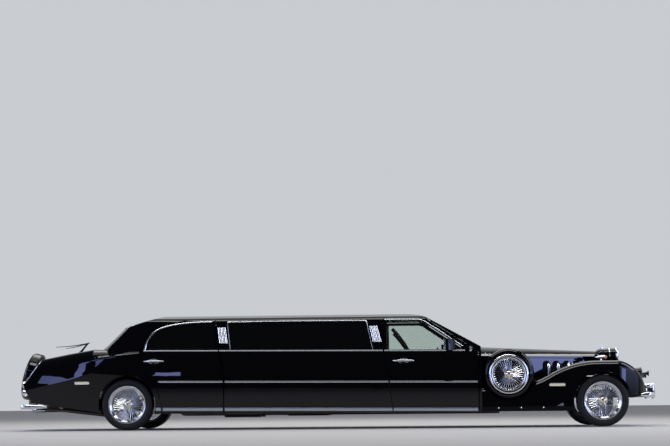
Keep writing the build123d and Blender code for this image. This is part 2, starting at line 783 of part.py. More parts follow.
def wing_plan(inset, inner_y):
    """The wing's plan, rounded at its front corner."""
    return outline(
        (BODY_FRONT_X - inset, inner_y),
        (BODY_FRONT_X - inset, WING_Y - inset),
        (3600, WING_Y - inset),
        ((3940 - inset * 0.7, 868 - inset * 0.7), (WING_TIP_X + 10 - inset, 690)),
        (WING_TIP_X + 10 - inset, inner_y),
    )


def rounded_wing(drop, inner_y, radius):
    """The wing's body, its outer top edge rounded and its inner one cut back to a slope."""
    body = side_prism(0, 1000, wing_side(drop)) & plan_prism(0, 1000, wing_plan(drop, inner_y))
    edges = [
        edge
        for edge in body.edges()
        if edge.bounding_box().max.Z > 515
        and edge.bounding_box().size.X > 60
        and edge.center().Y > 800
    ]
    body = fillet(edges, radius)
    slope = outline((inner_y - 10, 720 - drop), (inner_y - 10, 900), (inner_y + 190, 900 - drop))
    return body - front_prism(BODY_FRONT_X, 4200, slope)


wing_outer = rounded_wing(0, WING_INNER_Y, WING_ROUND)
wing_room = rounded_wing(WING_THICK, WING_INNER_Y + WING_THICK, WING_ROUND - WING_THICK)
wing_below = side_prism(0, 1000, wing_side(WING_THICK)) & plan_prism(
    0, 675, wing_plan(WING_THICK, WING_INNER_Y - 50)
)
pipes = [pipe - wing_outer for pipe in pipes]
node("exhaust_pipes", *pipes, *[other_side(pipe) for pipe in pipes])
wing = wing_outer - wing_room - wing_below
wing = wing - drum(FRONT_AXLE_X, TYRE_R, ARCH_R, 700, 1100)
wing = wing - block(FRONT_AXLE_X, 4200, 0, 1100, 0, WING_LIP_Z)
wing = wing - block(HOOD_REAR_X - 20, FRONT_AXLE_X, 0, 1100, 0, SKIRT_Z)
wing = wing - drum(SPARE_X, SPARE_Z, SPARE_R + SPARE_WELL_GAP, 700, 1100)
well = drum(SPARE_X, SPARE_Z, SPARE_R + SPARE_WELL_GAP + 15, 715, WING_Y - 1) - drum(
    SPARE_X, SPARE_Z, SPARE_R + SPARE_WELL_GAP, 730, 1100
)
well = well & side_prism(0, 1000, wing_side(1)) & plan_prism(0, 1000, wing_plan(1, WING_INNER_Y))
wing = wing + well + apron - front_prism(HOOD_FRONT_X, RADIATOR_FRONT_X + 1, shell_face) - hood_side
node("front_wing_left", wing)
node("front_wing_right", other_side(wing))

# Side-mounted spares: a domed hard cover with a bright ring and a wire wheel's face
spare_in_y = SPARE_OUT_Y - SPARE_THICK
spare_axis = Plane(origin=(SPARE_X, 0, SPARE_Z), x_dir=(1, 0, 0), z_dir=(0, 1, 0))
spare_profile = outline(
    (0, spare_in_y),
    (SPARE_R - 30, spare_in_y),
    ((SPARE_R - 8, spare_in_y + 10), (SPARE_R, spare_in_y + 40)),
    (SPARE_R, spare_in_y + 120),
    ((SPARE_R - 16, SPARE_OUT_Y - 22), (254, SPARE_OUT_Y - 2)),
    (254, SPARE_OUT_Y - 30),
    (0, SPARE_OUT_Y - 30),
)
spare = revolve(Plane(origin=(SPARE_X, 0, SPARE_Z), x_dir=(1, 0, 0), z_dir=(0, 0, 1)) * spare_profile,
                Axis((SPARE_X, 0, SPARE_Z), (0, 1, 0)), 360)
carrier = rod((SPARE_X, hood_half_y(SPARE_X) - 30, SPARE_Z), (SPARE_X, spare_in_y + 1, SPARE_Z), 45)
carrier -= plan_prism(
    0,
    1000,
    outline(
        (HOOD_REAR_X, 0), (HOOD_REAR_X, HOOD_REAR_Y + SEAT_GAP),
        (HOOD_FRONT_X, HOOD_FRONT_Y + SEAT_GAP), (HOOD_FRONT_X, 0),
    ),
)
FACE_Y = SPARE_OUT_Y - 30 + SEAT_GAP
FACE_RING_R = (212.0, 254.0 - SEAT_GAP)
FACE_HUB_R = 48.0
FACE_SPOKES = 36
ring_profile = outline(
    (FACE_RING_R[0], FACE_Y),
    (FACE_RING_R[0], SPARE_OUT_Y - 8),
    ((232, SPARE_OUT_Y + 6), (FACE_RING_R[1], SPARE_OUT_Y - 4)),
    (FACE_RING_R[1], FACE_Y),
)
spare_ring = revolve(Plane(origin=(SPARE_X, 0, SPARE_Z), x_dir=(1, 0, 0), z_dir=(0, 0, 1)) * ring_profile,
                     Axis((SPARE_X, 0, SPARE_Z), (0, 1, 0)), 360)
spare_hub = drum(SPARE_X, SPARE_Z, FACE_HUB_R, FACE_Y, SPARE_OUT_Y + 14)
face_bars = []
for count in range(FACE_SPOKES):
    way = 1 if count % 2 else -1
    angle = 2 * pi * count / FACE_SPOKES
    foot_angle = angle + way * radians(30)
    foot = (
        SPARE_X + (FACE_HUB_R - 6) * cos(foot_angle), SPARE_OUT_Y + 2 + 3 * way,
        SPARE_Z + (FACE_HUB_R - 6) * sin(foot_angle),
    )
    tip = (
        SPARE_X + (FACE_RING_R[0] + 4) * cos(angle), SPARE_OUT_Y - 18 + 3 * way,
        SPARE_Z + (FACE_RING_R[0] + 4) * sin(angle),
    )
    face_bars.append(rod(foot, tip, SPOKE_R))
node("side_spares", *pair(spare + carrier))
node("side_spare_faces", *pair(spare_ring + [spare_hub, *face_bars]))

# Headlamps: bullet bowls on stalks
LAMP_Y = 520.0
LAMP_Z = 920.0
lamp_plane = Plane(origin=(0, LAMP_Y, LAMP_Z), x_dir=(1, 0, 0), z_dir=(0, -1, 0))
bowl_profile = outline((3722, 0), (3722, 95), (3640, 93), (3560, 86), dome((3560, 86), (3445, 0)))
lamp_axis = Axis((0, LAMP_Y, LAMP_Z), (1, 0, 0))
bowl = revolve(lamp_plane * bowl_profile, lamp_axis, 360)
stalk = rod((3600, LAMP_Y - 30, 675 + APRON_THICK + SEAT_GAP), (3600, LAMP_Y - 30, LAMP_Z - 60), 20)
lamp_rim_profile = outline((3721, 82), (3721, 100), ((3738, 99), (3746, 88)), (3746, 82))
lamp_rim = revolve(lamp_plane * lamp_rim_profile, lamp_axis, 360)
node("headlamps", *pair(bowl + (stalk - wing_outer) + lamp_rim))
lens_profile = outline((3722.3, 0), (3722.3, 81.7), (3738, 81.7), dome((3738, 81.7), (3758, 0)))
node("headlamp_lenses", *pair(revolve(lamp_plane * lens_profile, lamp_axis, 360)))

# Indicators on the wings' crowns
INDICATOR_Y = 740.0
indicator_plane = Plane(origin=(0, INDICATOR_Y, 890), x_dir=(1, 0, 0), z_dir=(0, -1, 0))
indicator_profile = outline(
    (3425, 0), (3470, 20), (3530, 27), (3552, 27), dome((3552, 27), (3580, 0))
)
indicator = revolve(indicator_plane * indicator_profile, Axis((0, INDICATOR_Y, 890), (1, 0, 0)), 360)
indicator += rod((3505, INDICATOR_Y, WING_CROWN_Z + SEAT_GAP), (3505, INDICATOR_Y, 880), 14)
node("indicators", *pair(indicator))


# Bumpers
def blade(x_middle, x_corner, half, corner_y, thick, z_low, z_high, sign):
    """A curved bumper blade; sign is +1 at the front and -1 at the rear."""
    inner = x_middle - sign * thick
    corner_in = x_corner - sign * thick
    middle_y = corner_y * 0.5
    bulge = x_middle - (x_middle - x_corner) * 0.16
    bulge_in = inner - (inner - corner_in) * 0.16
    face = outline(
        (x_corner, corner_y),
        ((bulge, middle_y), (x_middle, 0)),
        ((bulge, -middle_y), (x_corner, -corner_y)),
        (half, -corner_y - 20),
        (half - sign * thick * 0.3, -corner_y + thick * 0.4),
        (corner_in, -corner_y + thick * 0.8),
        ((bulge_in, -middle_y), (inner, 0)),
        ((bulge_in, middle_y), (corner_in, corner_y - thick * 0.8)),
        (half - sign * thick * 0.3, corner_y - thick * 0.4),
        (half, corner_y + 20),
    )
    return plan_prism(z_low, z_high, face)


BUMPER_X = FRONT_AXLE_X + 748
front_bumper = blade(BUMPER_X, BUMPER_X - 115, BUMPER_X - 245, 880, 45, 368, 434, 1)
upper_blade = blade(BUMPER_X - 10, BUMPER_X - 65, BUMPER_X - 135, 600, 35, 490, 548, 1)
for y in (-330, 330):
    front_bumper += block(BUMPER_X - 95, BUMPER_X - 23, y - 22, y + 22, 350, 560)
front_bumper += upper_blade
for y in (-RAIL_Y, RAIL_Y):
    front_bumper += block(FRAME_FRONT_X, BUMPER_X - 45, y - 25, y + 25, 385, 420)
node("front_bumper", front_bumper)
rear_bumper = blade(
    REAR_AXLE_X - 1447, REAR_AXLE_X - 1417, REAR_AXLE_X - 1147, 880, 45, 284, 342, -1
)
for y in (-RAIL_Y, RAIL_Y):
    arm = side_prism(
        y - 25,
        y + 25,
        outline(
            (REAR_AXLE_X - 1417, 290), (REAR_AXLE_X - 1417, 330), (REAR_AXLE_X - 1267, 366),
            (REAR_AXLE_X - 987, 325), (REAR_AXLE_X - 987, 290),
        ),
    )
    rear_bumper += arm
node("rear_bumper", rear_bumper)

# Driving lamps on a crossbar ahead of the radiator
bar = rod((4010, -400, 640), (4010, 400, 640), 14)
driving_lamps = bar
for y in (-250, 250):
    plane = Plane(origin=(0, y, 690), x_dir=(1, 0, 0), z_dir=(0, -1, 0))
    profile = outline((4092, 0), (4075, 72), (4040, 70), (3990, 60), dome((3990, 60), (3945, 0)))
    driving_lamps += revolve(plane * profile, Axis((0, y, 690), (1, 0, 0)), 360)
    driving_lamps += block(3998, 4022, y - 10, y + 10, 640, 690)
    driving_lamps += rod((3965, y, 430), (4010, y, 640), 13)
    driving_lamps += block(3950 + SEAT_GAP, 3975, y - 25, y + 25, 405, 440)
node("driving_lamps", driving_lamps)

# Leaning spare-wheel cover at the tail
cover_plane = Plane(
    origin=(COVER_X, 0, COVER_Z),
    x_dir=(sin(radians(COVER_LEAN)), 0, cos(radians(COVER_LEAN))),
    z_dir=(0, -1, 0),
)
cover_shoulder = (COVER_R - 50, COVER_THICK + 6)
cover_through, cover_tip = dome(cover_shoulder[::-1], (COVER_THICK + COVER_DOME, 0))
cover_profile = outline(
    (0, 0),
    (COVER_R - 12, 0),
    ((COVER_R - 3, 5), (COVER_R, 14)),
    (COVER_R, COVER_THICK - 35),
    ((COVER_R - 14, COVER_THICK - 6), cover_shoulder),
    (cover_through[::-1], cover_tip[::-1]),
)
lean_axis = Axis((COVER_X, 0, COVER_Z), (-cos(radians(COVER_LEAN)), 0, sin(radians(COVER_LEAN))))
cover = revolve(cover_plane * cover_profile, lean_axis, 360)
cover_boss = rod((COVER_X - 30, 0, COVER_Z), (COVER_X + 160, 0, COVER_Z), 70)
cover_boss -= Pos(-SEAT_GAP, 0, 0) * (tail_outer + other_side(tail_outer))
cover_boss = cover_boss & block(COVER_X - 40, TAIL_X + 90, -100, 100, 0, 1000)
node("tail_spare_cover", cover + cover_boss)

# Antenna on the boot lid
antenna = rod((REAR_AXLE_X - 577, 0, 1030), (REAR_AXLE_X - 547, 0, 1180), 9)
for y in (-275, 275):
    antenna += rod((REAR_AXLE_X - 547, 0, 1178), (REAR_AXLE_X - 947, y, 1150), 8)
node("antenna", antenna - tail_outer - other_side(tail_outer))

# Tail lamps beside the spare cover
TAIL_LAMP_Y = 725.0
TAIL_LAMP_R = 46.0
lamp_back_x = TAIL_X - 6
round_lamps = block(lamp_back_x - 8, TAIL_X + 60, TAIL_LAMP_Y - 12, TAIL_LAMP_Y + 12, 470, 640)
for z in (TAIL_Z - 105, TAIL_Z):
    lamp_tip = dome((lamp_back_x - 20, TAIL_LAMP_R), (lamp_back_x - 42, 0))
    lamp_face = outline(
        (TAIL_X + 60, 0), (TAIL_X + 60, TAIL_LAMP_R), (lamp_back_x - 20, TAIL_LAMP_R), lamp_tip
    )
    lamp_frame = Plane(origin=(0, TAIL_LAMP_Y, z), x_dir=(1, 0, 0), z_dir=(0, -1, 0))
    round_lamps += revolve(lamp_frame * lamp_face, Axis((0, TAIL_LAMP_Y, z), (1, 0, 0)), 360)
node("tail_lamps", *pair(round_lamps - tail_outer))


# Chassis: two side rails kicked up over the axles, cross members
def rail_line(z):
    """The kinked line of a rail at one of its edges."""
    return [
        (REAR_AXLE_X - 1207, z + REAR_KICK), (REAR_AXLE_X + 330, z + REAR_KICK),
        (REAR_AXLE_X + 620, z), (FRONT_AXLE_X - 700, z), (FRONT_AXLE_X - 360, z + 150),
        (FRAME_FRONT_X, z + 150),
    ]


rail_points = rail_line(RAIL_Z) + rail_line(RAIL_Z + RAIL_H)[::-1]
rail = side_prism(RAIL_Y - RAIL_W / 2, RAIL_Y + RAIL_W / 2, outline(*rail_points))
chassis = rail + other_side(rail)
for x in (REAR_AXLE_X + 853, -900, 0, 900, 1800):
    chassis += block(x - 45, x + 45, -RAIL_Y, RAIL_Y, RAIL_Z + 10, RAIL_Z + RAIL_H - 10)
chassis += block(3850, 3950, -RAIL_Y, RAIL_Y, RAIL_Z + 160, RAIL_Z + 230)
chassis += block(REAR_AXLE_X - 1207, REAR_AXLE_X - 1137, -RAIL_Y, RAIL_Y, RAIL_Z + 220, RAIL_Z + 300)
chassis += block(2655, 2745, -RAIL_Y, RAIL_Y, RAIL_Z + 10, ENGINE_Z)
chassis += block(3570, 3640, -RAIL_Y, RAIL_Y, RAIL_Z + 160, 420)
node("chassis", chassis)

# Exhausts: a pipe inside each rail with two silencers, over the rear axle to a tip at the tail
axle_over_z = TYRE_R + 121
exhaust_path = FilletPolyline(
    (2200, EXHAUST_Y, EXHAUST_Z),
    (REAR_AXLE_X + 653, EXHAUST_Y, EXHAUST_Z),
    (REAR_AXLE_X + 353, EXHAUST_Y, axle_over_z),
    (REAR_AXLE_X - 127, EXHAUST_Y, axle_over_z),
    (REAR_AXLE_X - 387, EXHAUST_Y, EXHAUST_Z - 6),
    (REAR_AXLE_X - 987, EXHAUST_Y, TAILPIPE_Z),
    (REAR_AXLE_X - 1387, EXHAUST_Y, TAILPIPE_Z),
    radius=70,
)
exhaust_start = Plane(origin=(2200, EXHAUST_Y, EXHAUST_Z), z_dir=(-1, 0, 0))
exhaust = sweep(exhaust_start * Circle(EXHAUST_R), path=exhaust_path)
# silencers and tip: rear and front ends, height of the centre, radius
for x_rear, x_front, z, radius in (
    (REAR_AXLE_X + 1203, REAR_AXLE_X + 1693, EXHAUST_Z + 12, 60),
    (-600, -60, EXHAUST_Z + 8, 42),
    (REAR_AXLE_X - 1385, REAR_AXLE_X - 1213, TAILPIPE_Z, 30),
):
    exhaust += rod((x_rear, EXHAUST_Y, z), (x_front, EXHAUST_Y, z), radius)
for x in (REAR_AXLE_X + 853, 900, 1800):
    exhaust += block(x - 15, x + 15, EXHAUST_Y - 8, EXHAUST_Y + 8, EXHAUST_Z, RAIL_Z + 10 - SEAT_GAP)
node("exhaust_system", *pair(exhaust))

# Floor pan: flat between the rails' kick-ups, raised over the rear axle, with sills
floor_face = outline(
    (FRONT_DOOR_X[1] + HINGE_GAP, FLOOR_Z), (REAR_AXLE_X + 620, FLOOR_Z),
    (REAR_AXLE_X + 330, FLOOR_Z + REAR_KICK),
    (REAR_AXLE_X - 1047, FLOOR_Z + REAR_KICK), (REAR_AXLE_X - 1047, FLOOR_Z + REAR_KICK + FLOOR_THICK),
    (REAR_AXLE_X + 330, FLOOR_Z + REAR_KICK + FLOOR_THICK),
    (REAR_AXLE_X + 620, FLOOR_Z + FLOOR_THICK), (FRONT_DOOR_X[1] + HINGE_GAP, FLOOR_Z + FLOOR_THICK),
)
floor = side_prism(0, SILL_IN_Y, floor_face) & block(BODY_REAR_X - 10, 2000, -1, 1000, 0, 1000)
floor += side_prism(0, 830, floor_face) & tail_solid(TAIL_THICK)
floor += block(REAR_AXLE_X + 503, 1900, SILL_IN_Y - 60, SILL_IN_Y, SILL_Z, FLOOR_Z + 60)
floor += lower_room & block(REAR_AXLE_X + 1333, 790, SILL_IN_Y - 10, 1000, SILL_Z, FLOOR_Z + 60)
floor -= drum(REAR_AXLE_X, TYRE_R, WELL_R + WELL_SKIN, WELL_IN_Y, 1100)
node("floor", floor + other_side(floor))

# Axles, knuckles
rear_axle = rod((REAR_AXLE_X, -WHEEL_Y + 61, TYRE_R), (REAR_AXLE_X, WHEEL_Y - 61, TYRE_R), 40)
rear_axle += Pos(REAR_AXLE_X, 0, TYRE_R) * Sphere(95)
for y in (-1, 1):
    inner_y, outer_y = y * (WHEEL_Y - 62), y * (WHEEL_Y + 60)
    rear_axle += rod((REAR_AXLE_X, inner_y, TYRE_R), (REAR_AXLE_X, outer_y, TYRE_R), AXLE_R)
    seat_y = y * RAIL_Y
    rear_axle += block(
        REAR_AXLE_X - 45, REAR_AXLE_X + 45, seat_y - 30, seat_y + 30, TYRE_R, RAIL_Z + REAR_KICK
    )
node("rear_axle", rear_axle)
KINGPIN_Y = WHEEL_Y - 130
KINGPIN_R = 14.0
ARM_GAP = 1.0
UPRIGHT_Z = (228.0, 446.0)
front_beam = block(FRONT_AXLE_X - 40, FRONT_AXLE_X + 40, -500, 500, UPRIGHT_Z[0] - ARM_GAP - 22, 375)
for y in (-1, 1):
    low_y, high_y = sorted((y * (RAIL_Y + RAIL_W / 2 + SEAT_GAP), y * KINGPIN_Y))
    for z in (UPRIGHT_Z[0] - ARM_GAP - 22, UPRIGHT_Z[1] + ARM_GAP):
        arm = block(FRONT_AXLE_X - 30, FRONT_AXLE_X + 30, low_y, high_y, z, z + 22)
        arm += rod((FRONT_AXLE_X, y * KINGPIN_Y, z), (FRONT_AXLE_X, y * KINGPIN_Y, z + 22), 30)
        front_beam += arm
    pin_foot, pin_head = UPRIGHT_Z[0] - 10, UPRIGHT_Z[1] + 10
    front_beam += rod(
        (FRONT_AXLE_X, y * KINGPIN_Y, pin_foot), (FRONT_AXLE_X, y * KINGPIN_Y, pin_head), KINGPIN_R
    )
    low_y, high_y = sorted((y * 466, y * 500))
    front_beam += block(FRONT_AXLE_X - 30, FRONT_AXLE_X + 30, low_y, high_y, 205, 469)
node("front_beam", front_beam)
for side, y in (("left", 1), ("right", -1)):
    pin_y = y * KINGPIN_Y
    stub = rod((FRONT_AXLE_X, pin_y, TYRE_R), (FRONT_AXLE_X, y * (WHEEL_Y + 60), TYRE_R), AXLE_R)
    upright = rod((FRONT_AXLE_X, pin_y, UPRIGHT_Z[0]), (FRONT_AXLE_X, pin_y, UPRIGHT_Z[1]), 32)
    pin_room = rod((FRONT_AXLE_X, pin_y, 100), (FRONT_AXLE_X, pin_y, 600), KINGPIN_R + AXLE_FIT)
    node("knuckle_" + side, stub + upright - pin_room)


# Wheels: tyre and wire wheel about the car's cross axis, at the origin
def about_axis(radius, angle, along):
    """A point by its radius and angle about the wheel's axis, and its distance along it."""
    return (radius * cos(angle), along, radius * sin(angle))


def laced_spokes():
    """The wheel's spokes: neighbours in a row lean opposite ways and cross with room to spare."""
    bars = []
    # hub end and rim end of each row's two lays: (hub along, rim along), and the row's lean
    for lays, lean, shift in SPOKE_ROWS:
        for count in range(SPOKES_A_ROW):
            way = 1 if count % 2 else -1
            hub_along, rim_along = lays[count % 2]
            angle = 2 * pi * (count + shift) / SPOKES_A_ROW
            foot = about_axis(HUB_R - 6, angle + way * radians(lean), hub_along)
            bars.append(rod(foot, about_axis(WELL_INNER_R + 4, angle, rim_along), SPOKE_R))
    return bars


half_w = TYRE_WIDTH / 2
tyre_profile = outline(
    (RIM_LIP_R - 14, -half_w + 18),
    (RIM_LIP_R + 5, -half_w + 18),
    (RIM_LIP_R + 40, -half_w),
    (TYRE_R - 14, -half_w + 9),
    (TYRE_R, -half_w + 32),
    (TYRE_R, half_w - 32),
    (TYRE_R - 14, half_w - 9),
    (RIM_LIP_R + 40, half_w),
    (RIM_LIP_R + 5, half_w - 18),
    (RIM_LIP_R - 14, half_w - 18),
)
rim_profile = outline(
    (RIM_LIP_R - 14, -half_w + 18),
    (RIM_LIP_R - 14, half_w - 18),
    (RIM_LIP_R, half_w - 18),
    (RIM_LIP_R, half_w - 9),
    (RIM_LIP_R - 22, half_w - 12),
    (WELL_INNER_R, half_w - 50),
    (WELL_INNER_R, half_w - 75),
    (WELL_INNER_R + 12, -half_w + 30),
    (WELL_INNER_R + 12, -half_w + 9),
    (RIM_LIP_R, -half_w + 9),
    (RIM_LIP_R, -half_w + 18),
)
wheel_axis = Axis((0, 0, 0), (0, 1, 0))
wheel_plane = Plane(origin=(0, 0, 0), x_dir=(0, 0, 1), z_dir=(-1, 0, 0))
tyre = revolve(wheel_plane * tyre_profile, wheel_axis, 360)
rim = revolve(wheel_plane * rim_profile, wheel_axis, 360)
hub = rod((0, -60, 0), (0, WHEEL_DISH + 60, 0), HUB_R)
wire_wheel = rim + [hub, *laced_spokes()]
wire_wheel -= rod((0, -200, 0), (0, WHEEL_DISH + 30, 0), AXLE_R + AXLE_FIT)
for corner, x, y in (
    ("front_left", FRONT_AXLE_X, 1),
    ("front_right", FRONT_AXLE_X, -1),
    ("rear_left", REAR_AXLE_X, 1),
    ("rear_right", REAR_AXLE_X, -1),
):
    for name, piece in (("tyre_", tyre), ("wheel_", wire_wheel)):
        placed = Pos(x, WHEEL_Y, TYRE_R) * piece
        node(name + corner, placed if y > 0 else other_side(placed))

# Seats, dashboard, steering wheel, engine
seat_cushion = block(620, 1150, 140, 680, FLOOR_Z + FLOOR_THICK, 560)
seat_back = side_prism(140, 680, outline((600, 500), (480, 1120), (590, 1120), (740, 560), (740, 500)))
lounge = side_prism(
    -620,
    620,
    outline(
        (REAR_AXLE_X + 323, FLOOR_Z + REAR_KICK + FLOOR_THICK), (REAR_AXLE_X + 463, 610),
        (REAR_AXLE_X + 463, 720), (REAR_AXLE_X + 3, 720), (REAR_AXLE_X - 87, 1080),
        (REAR_AXLE_X - 197, 1080), (REAR_AXLE_X - 147, FLOOR_Z + REAR_KICK + FLOOR_THICK),
    ),
)
node("seats", *pair(seat_cushion + seat_back), lounge)
dash = side_prism(
    -790,
    790,
    outline(
        (1480, 640), (1470, 850), ((1480, 905), (1530, 930)),
        (FRONT_DOOR_X[1] + HINGE_GAP - SEAT_GAP, 935),
        (FRONT_DOOR_X[1] + HINGE_GAP - SEAT_GAP, 880), (1640, 860), (1580, 640),
    ),
)
node("dashboard", dash)
wheel_centre = Plane(origin=(1330, 370, 900), z_dir=(-cos(radians(25)), 0, sin(radians(25))))
steering = wheel_centre * Torus(185, 14)
steering += extrude(wheel_centre * Rectangle(20, 372), 8, both=True)
column = rod((1330, 370, 900), (1560, 370, 793), 22) & block(1300, 1500, 300, 440, 700, 1000)
steering += column - Pos(-SEAT_GAP, 0, 0) * dash
node("steering_wheel", steering)
node("engine", block(2350, 3080, -250, 250, ENGINE_Z, 860))

os.makedirs("parts", exist_ok=True)
for name, solids in nodes.items():
    shape = solids[0] if len(solids) == 1 else Compound(solids)
    export_step(shape, "parts/" + name + ".step")
    print(name, len(solids), [round(solid.volume / 1e6, 3) for solid in solids])
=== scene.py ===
# Stretch limousine with an old-style front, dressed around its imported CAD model.
# Metres; +X is the front, +Y the left side, +Z up, the ground at z = 0.
from math import cos, pi, radians, sin, sqrt

import bmesh
import bpy
from mathutils import Matrix, Vector


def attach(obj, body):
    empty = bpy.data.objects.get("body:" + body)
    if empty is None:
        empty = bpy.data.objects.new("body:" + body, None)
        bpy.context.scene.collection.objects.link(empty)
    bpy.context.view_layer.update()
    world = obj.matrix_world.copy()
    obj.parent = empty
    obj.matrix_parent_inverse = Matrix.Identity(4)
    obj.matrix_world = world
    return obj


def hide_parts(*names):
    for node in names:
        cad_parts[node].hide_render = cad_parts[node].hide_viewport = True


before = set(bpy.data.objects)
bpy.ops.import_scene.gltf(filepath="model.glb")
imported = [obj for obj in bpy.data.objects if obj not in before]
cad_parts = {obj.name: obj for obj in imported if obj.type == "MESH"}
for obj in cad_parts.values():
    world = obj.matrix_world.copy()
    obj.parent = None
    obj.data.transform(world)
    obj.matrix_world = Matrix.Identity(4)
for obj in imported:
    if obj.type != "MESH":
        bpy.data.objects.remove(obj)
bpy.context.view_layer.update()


# Chassis, beam axle, rear axle and engine.
# Welded box-section steel, sprayed with satin chassis enamel that road dust has dulled; the
# engine is painted cast iron.
def linear_colour(code):
    """An sRGB hex colour as linear red, green, blue and alpha."""
    shares = [int(code[i:i + 2], 16) / 255 for i in (1, 3, 5)]
    return [c / 12.92 if c <= 0.04045 else ((c + 0.055) / 1.055) ** 2.4 for c in shares] + [1.0]


def add_node(tree, kind, values=None, links=None):
    """Add one node; values and links go to the sockets or settings that they name."""
    made = tree.nodes.new(kind)
    for key, value in (values or {}).items():
        if isinstance(key, int) or key in made.inputs:
            made.inputs[key].default_value = value
        else:
            setattr(made, key, value)
    for key, source in (links or {}).items():
        tree.links.new(source, made.inputs[key])
    return made


def new_finish(
    name, colour, values, rough=None, shades=None, grain=None, stretch=(1, 1, 1), detail=3.0
):
    """A material on one Principled shader, with soft irregular patterns of a patch size in mm.

    rough is (size, low, high), shades is (size, hex, hex) and grain is (size, depth in mm);
    stretch draws them out along an axis for brushed or woven looks.
    """
    finish = bpy.data.materials.new(name)
    finish.use_nodes = True
    tree = finish.node_tree
    tree.nodes.clear()
    shader = add_node(tree, "ShaderNodeBsdfPrincipled", {"Base Color": linear_colour(colour), **values})
    add_node(tree, "ShaderNodeOutputMaterial", links={"Surface": shader.outputs[0]})
    place = add_node(tree, "ShaderNodeTexCoord").outputs["Object"]
    place = add_node(tree, "ShaderNodeMapping", {"Scale": stretch}, {"Vector": place}).outputs[0]
    for socket, pattern in (("Roughness", rough), ("Base Color", shades), ("Normal", grain)):
        if not pattern:
            continue
        noise = add_node(
            tree, "ShaderNodeTexNoise", {"Scale": 1000 / pattern[0], "Detail": detail}, {"Vector": place}
        ).outputs[0]
        if socket == "Roughness":
            made = add_node(
                tree, "ShaderNodeMapRange", {"To Min": pattern[1], "To Max": pattern[2]}, {"Value": noise}
            ).outputs[0]
        elif socket == "Base Color":
            pair = {"data_type": "RGBA", 6: linear_colour(pattern[1]), 7: linear_colour(pattern[2])}
            made = add_node(tree, "ShaderNodeMix", pair, {0: noise}).outputs[2]
        else:
            depth = {"Strength": 1.0, "Distance": pattern[1] / 1000}
            made = add_node(tree, "ShaderNodeBump", depth, {"Height": noise}).outputs[0]
        tree.links.new(made, shader.inputs[socket])
    return finish


def dress(finish, *names):
    """Give CAD nodes their finish."""
    for name in names:
        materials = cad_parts[name].data.materials
        materials.clear()
        materials.append(finish)


# Enamel: black, satin, a little dusty in patches 60 mm across
chassis_enamel = new_finish(
    "satin_chassis_enamel", "#121214", {"Roughness": 0.5}, rough=(60, 0.38, 0.72),
    shades=(60, "#0d0d0f", "#2b2926"), grain=(2.5, 0.05),
)
dress(chassis_enamel, "chassis", "floor", "front_beam", "rear_axle", "knuckle_left", "knuckle_right")

# Cast iron: sand-cast grain of about 2 mm under engine paint
engine_paint = new_finish(
    "painted_cast_iron", "#34373b", {"Roughness": 0.55}, shades=(90, "#2c2f33", "#43464a"), grain=(2, 0.4)
)
dress(engine_paint, "engine")

# Painted body: roof, quarters, stretch panels, doors, lids, wings and covers.
# Pressed and welded sheet steel with laid-up wings, flatted and sprayed with black two-pack
# paint under a clear coat, which gives deep gloss with a trace of orange peel.
CORNERS = [(row, side) for row in ("front", "rear") for side in ("left", "right")]
body_black = new_finish(
    "black_two_pack_paint", "#020204",
    {"Roughness": 0.3, "Specular IOR Level": 0.0, "Coat Weight": 0.8, "Coat IOR": 1.45,
     "Coat Roughness": 0.012},
    rough=(350, 0.26, 0.34),
)
dress(
    body_black, "roof_and_pillars", "quarter_left", "quarter_right", "rear_panel", "stretch_panels",
    "boot_lid", "cowl", "bonnet", "bonnet_sides", "front_wing_left", "front_wing_right",
    "side_spares", "tail_spare_cover", "headlamps", "antenna", "driving_lamps",
    *["%s_door_%s" % corner for corner in CORNERS],
    *["door_mirror_" + side for side in ("left", "right")],
)

# Glass. Rear cabin: float glass behind near-opaque black film. Windscreen and front doors: the
# usual pale green solar-tinted glass, toughened or laminated, 6 mm thick.
film_glass = new_finish(
    "black_filmed_glass", "#020203", {"Roughness": 0.015, "IOR": 1.52, "Specular IOR Level": 0.5},
    rough=(400, 0.01, 0.03),
)
dress(film_glass, "fixed_glass", "rear_door_glass_left", "rear_door_glass_right")
green_glass = new_finish(
    "green_tinted_glass", "#e6efe9", {"Roughness": 0.0, "IOR": 1.5, "Transmission Weight": 1.0}
)
dress(green_glass, "windscreen", "front_door_glass_left", "front_door_glass_right", "headlamp_lenses")

# Bright metal: radiator shell, bumpers, side pipes, handles and lamp rims.
# Brass and steel pressings, buffed and plated with bright chrome; buffing leaves faint haze.
chrome_plate = new_finish(
    "bright_chrome_plate", "#dcdee2", {"Metallic": 1.0, "Roughness": 0.06}, rough=(120, 0.04, 0.11)
)
dress(
    chrome_plate, "radiator_shell", "exhaust_pipes", "indicators", "front_bumper", "rear_bumper",
    "side_spare_faces", "tail_lamps",
    *["%s_door_handle_%s" % corner for corner in CORNERS],
)

# Exhausts: aluminised steel pipe and silencers, dulled and browned by heat.
# The welded tips at the tail are stainless and stay bright.
aluminised_pipe = new_finish(
    "aluminised_steel_pipe", "#6d6c69", {"Metallic": 0.9, "Roughness": 0.42},
    shades=(150, "#75736f", "#574f47"), grain=(3, 0.04),
)
dress(aluminised_pipe, "exhaust_system")

# Tyres: 235/45 R18, moulded rubber on steel belts.
# Four ribs with slots across them, dulled by road dust, and plain sidewalls with two fine rings.
AXLE_X = {"front": 3.497, "rear": -2.653}
WHEEL_Y, WHEEL_Z = 0.82, 0.3345
TYRE_R, TYRE_HALF, RIM_R = 0.3345, 0.1175, 0.247
GROOVE_DEPTH, TREAD_PITCHES = 0.007, 64

tyre_rubber = new_finish(
    "moulded_tyre_rubber", "#09090a", {"Roughness": 0.55, "Specular IOR Level": 0.3},
    rough=(12, 0.45, 0.65), shades=(25, "#070708", "#100f0f"), grain=(1.2, 0.05),
)


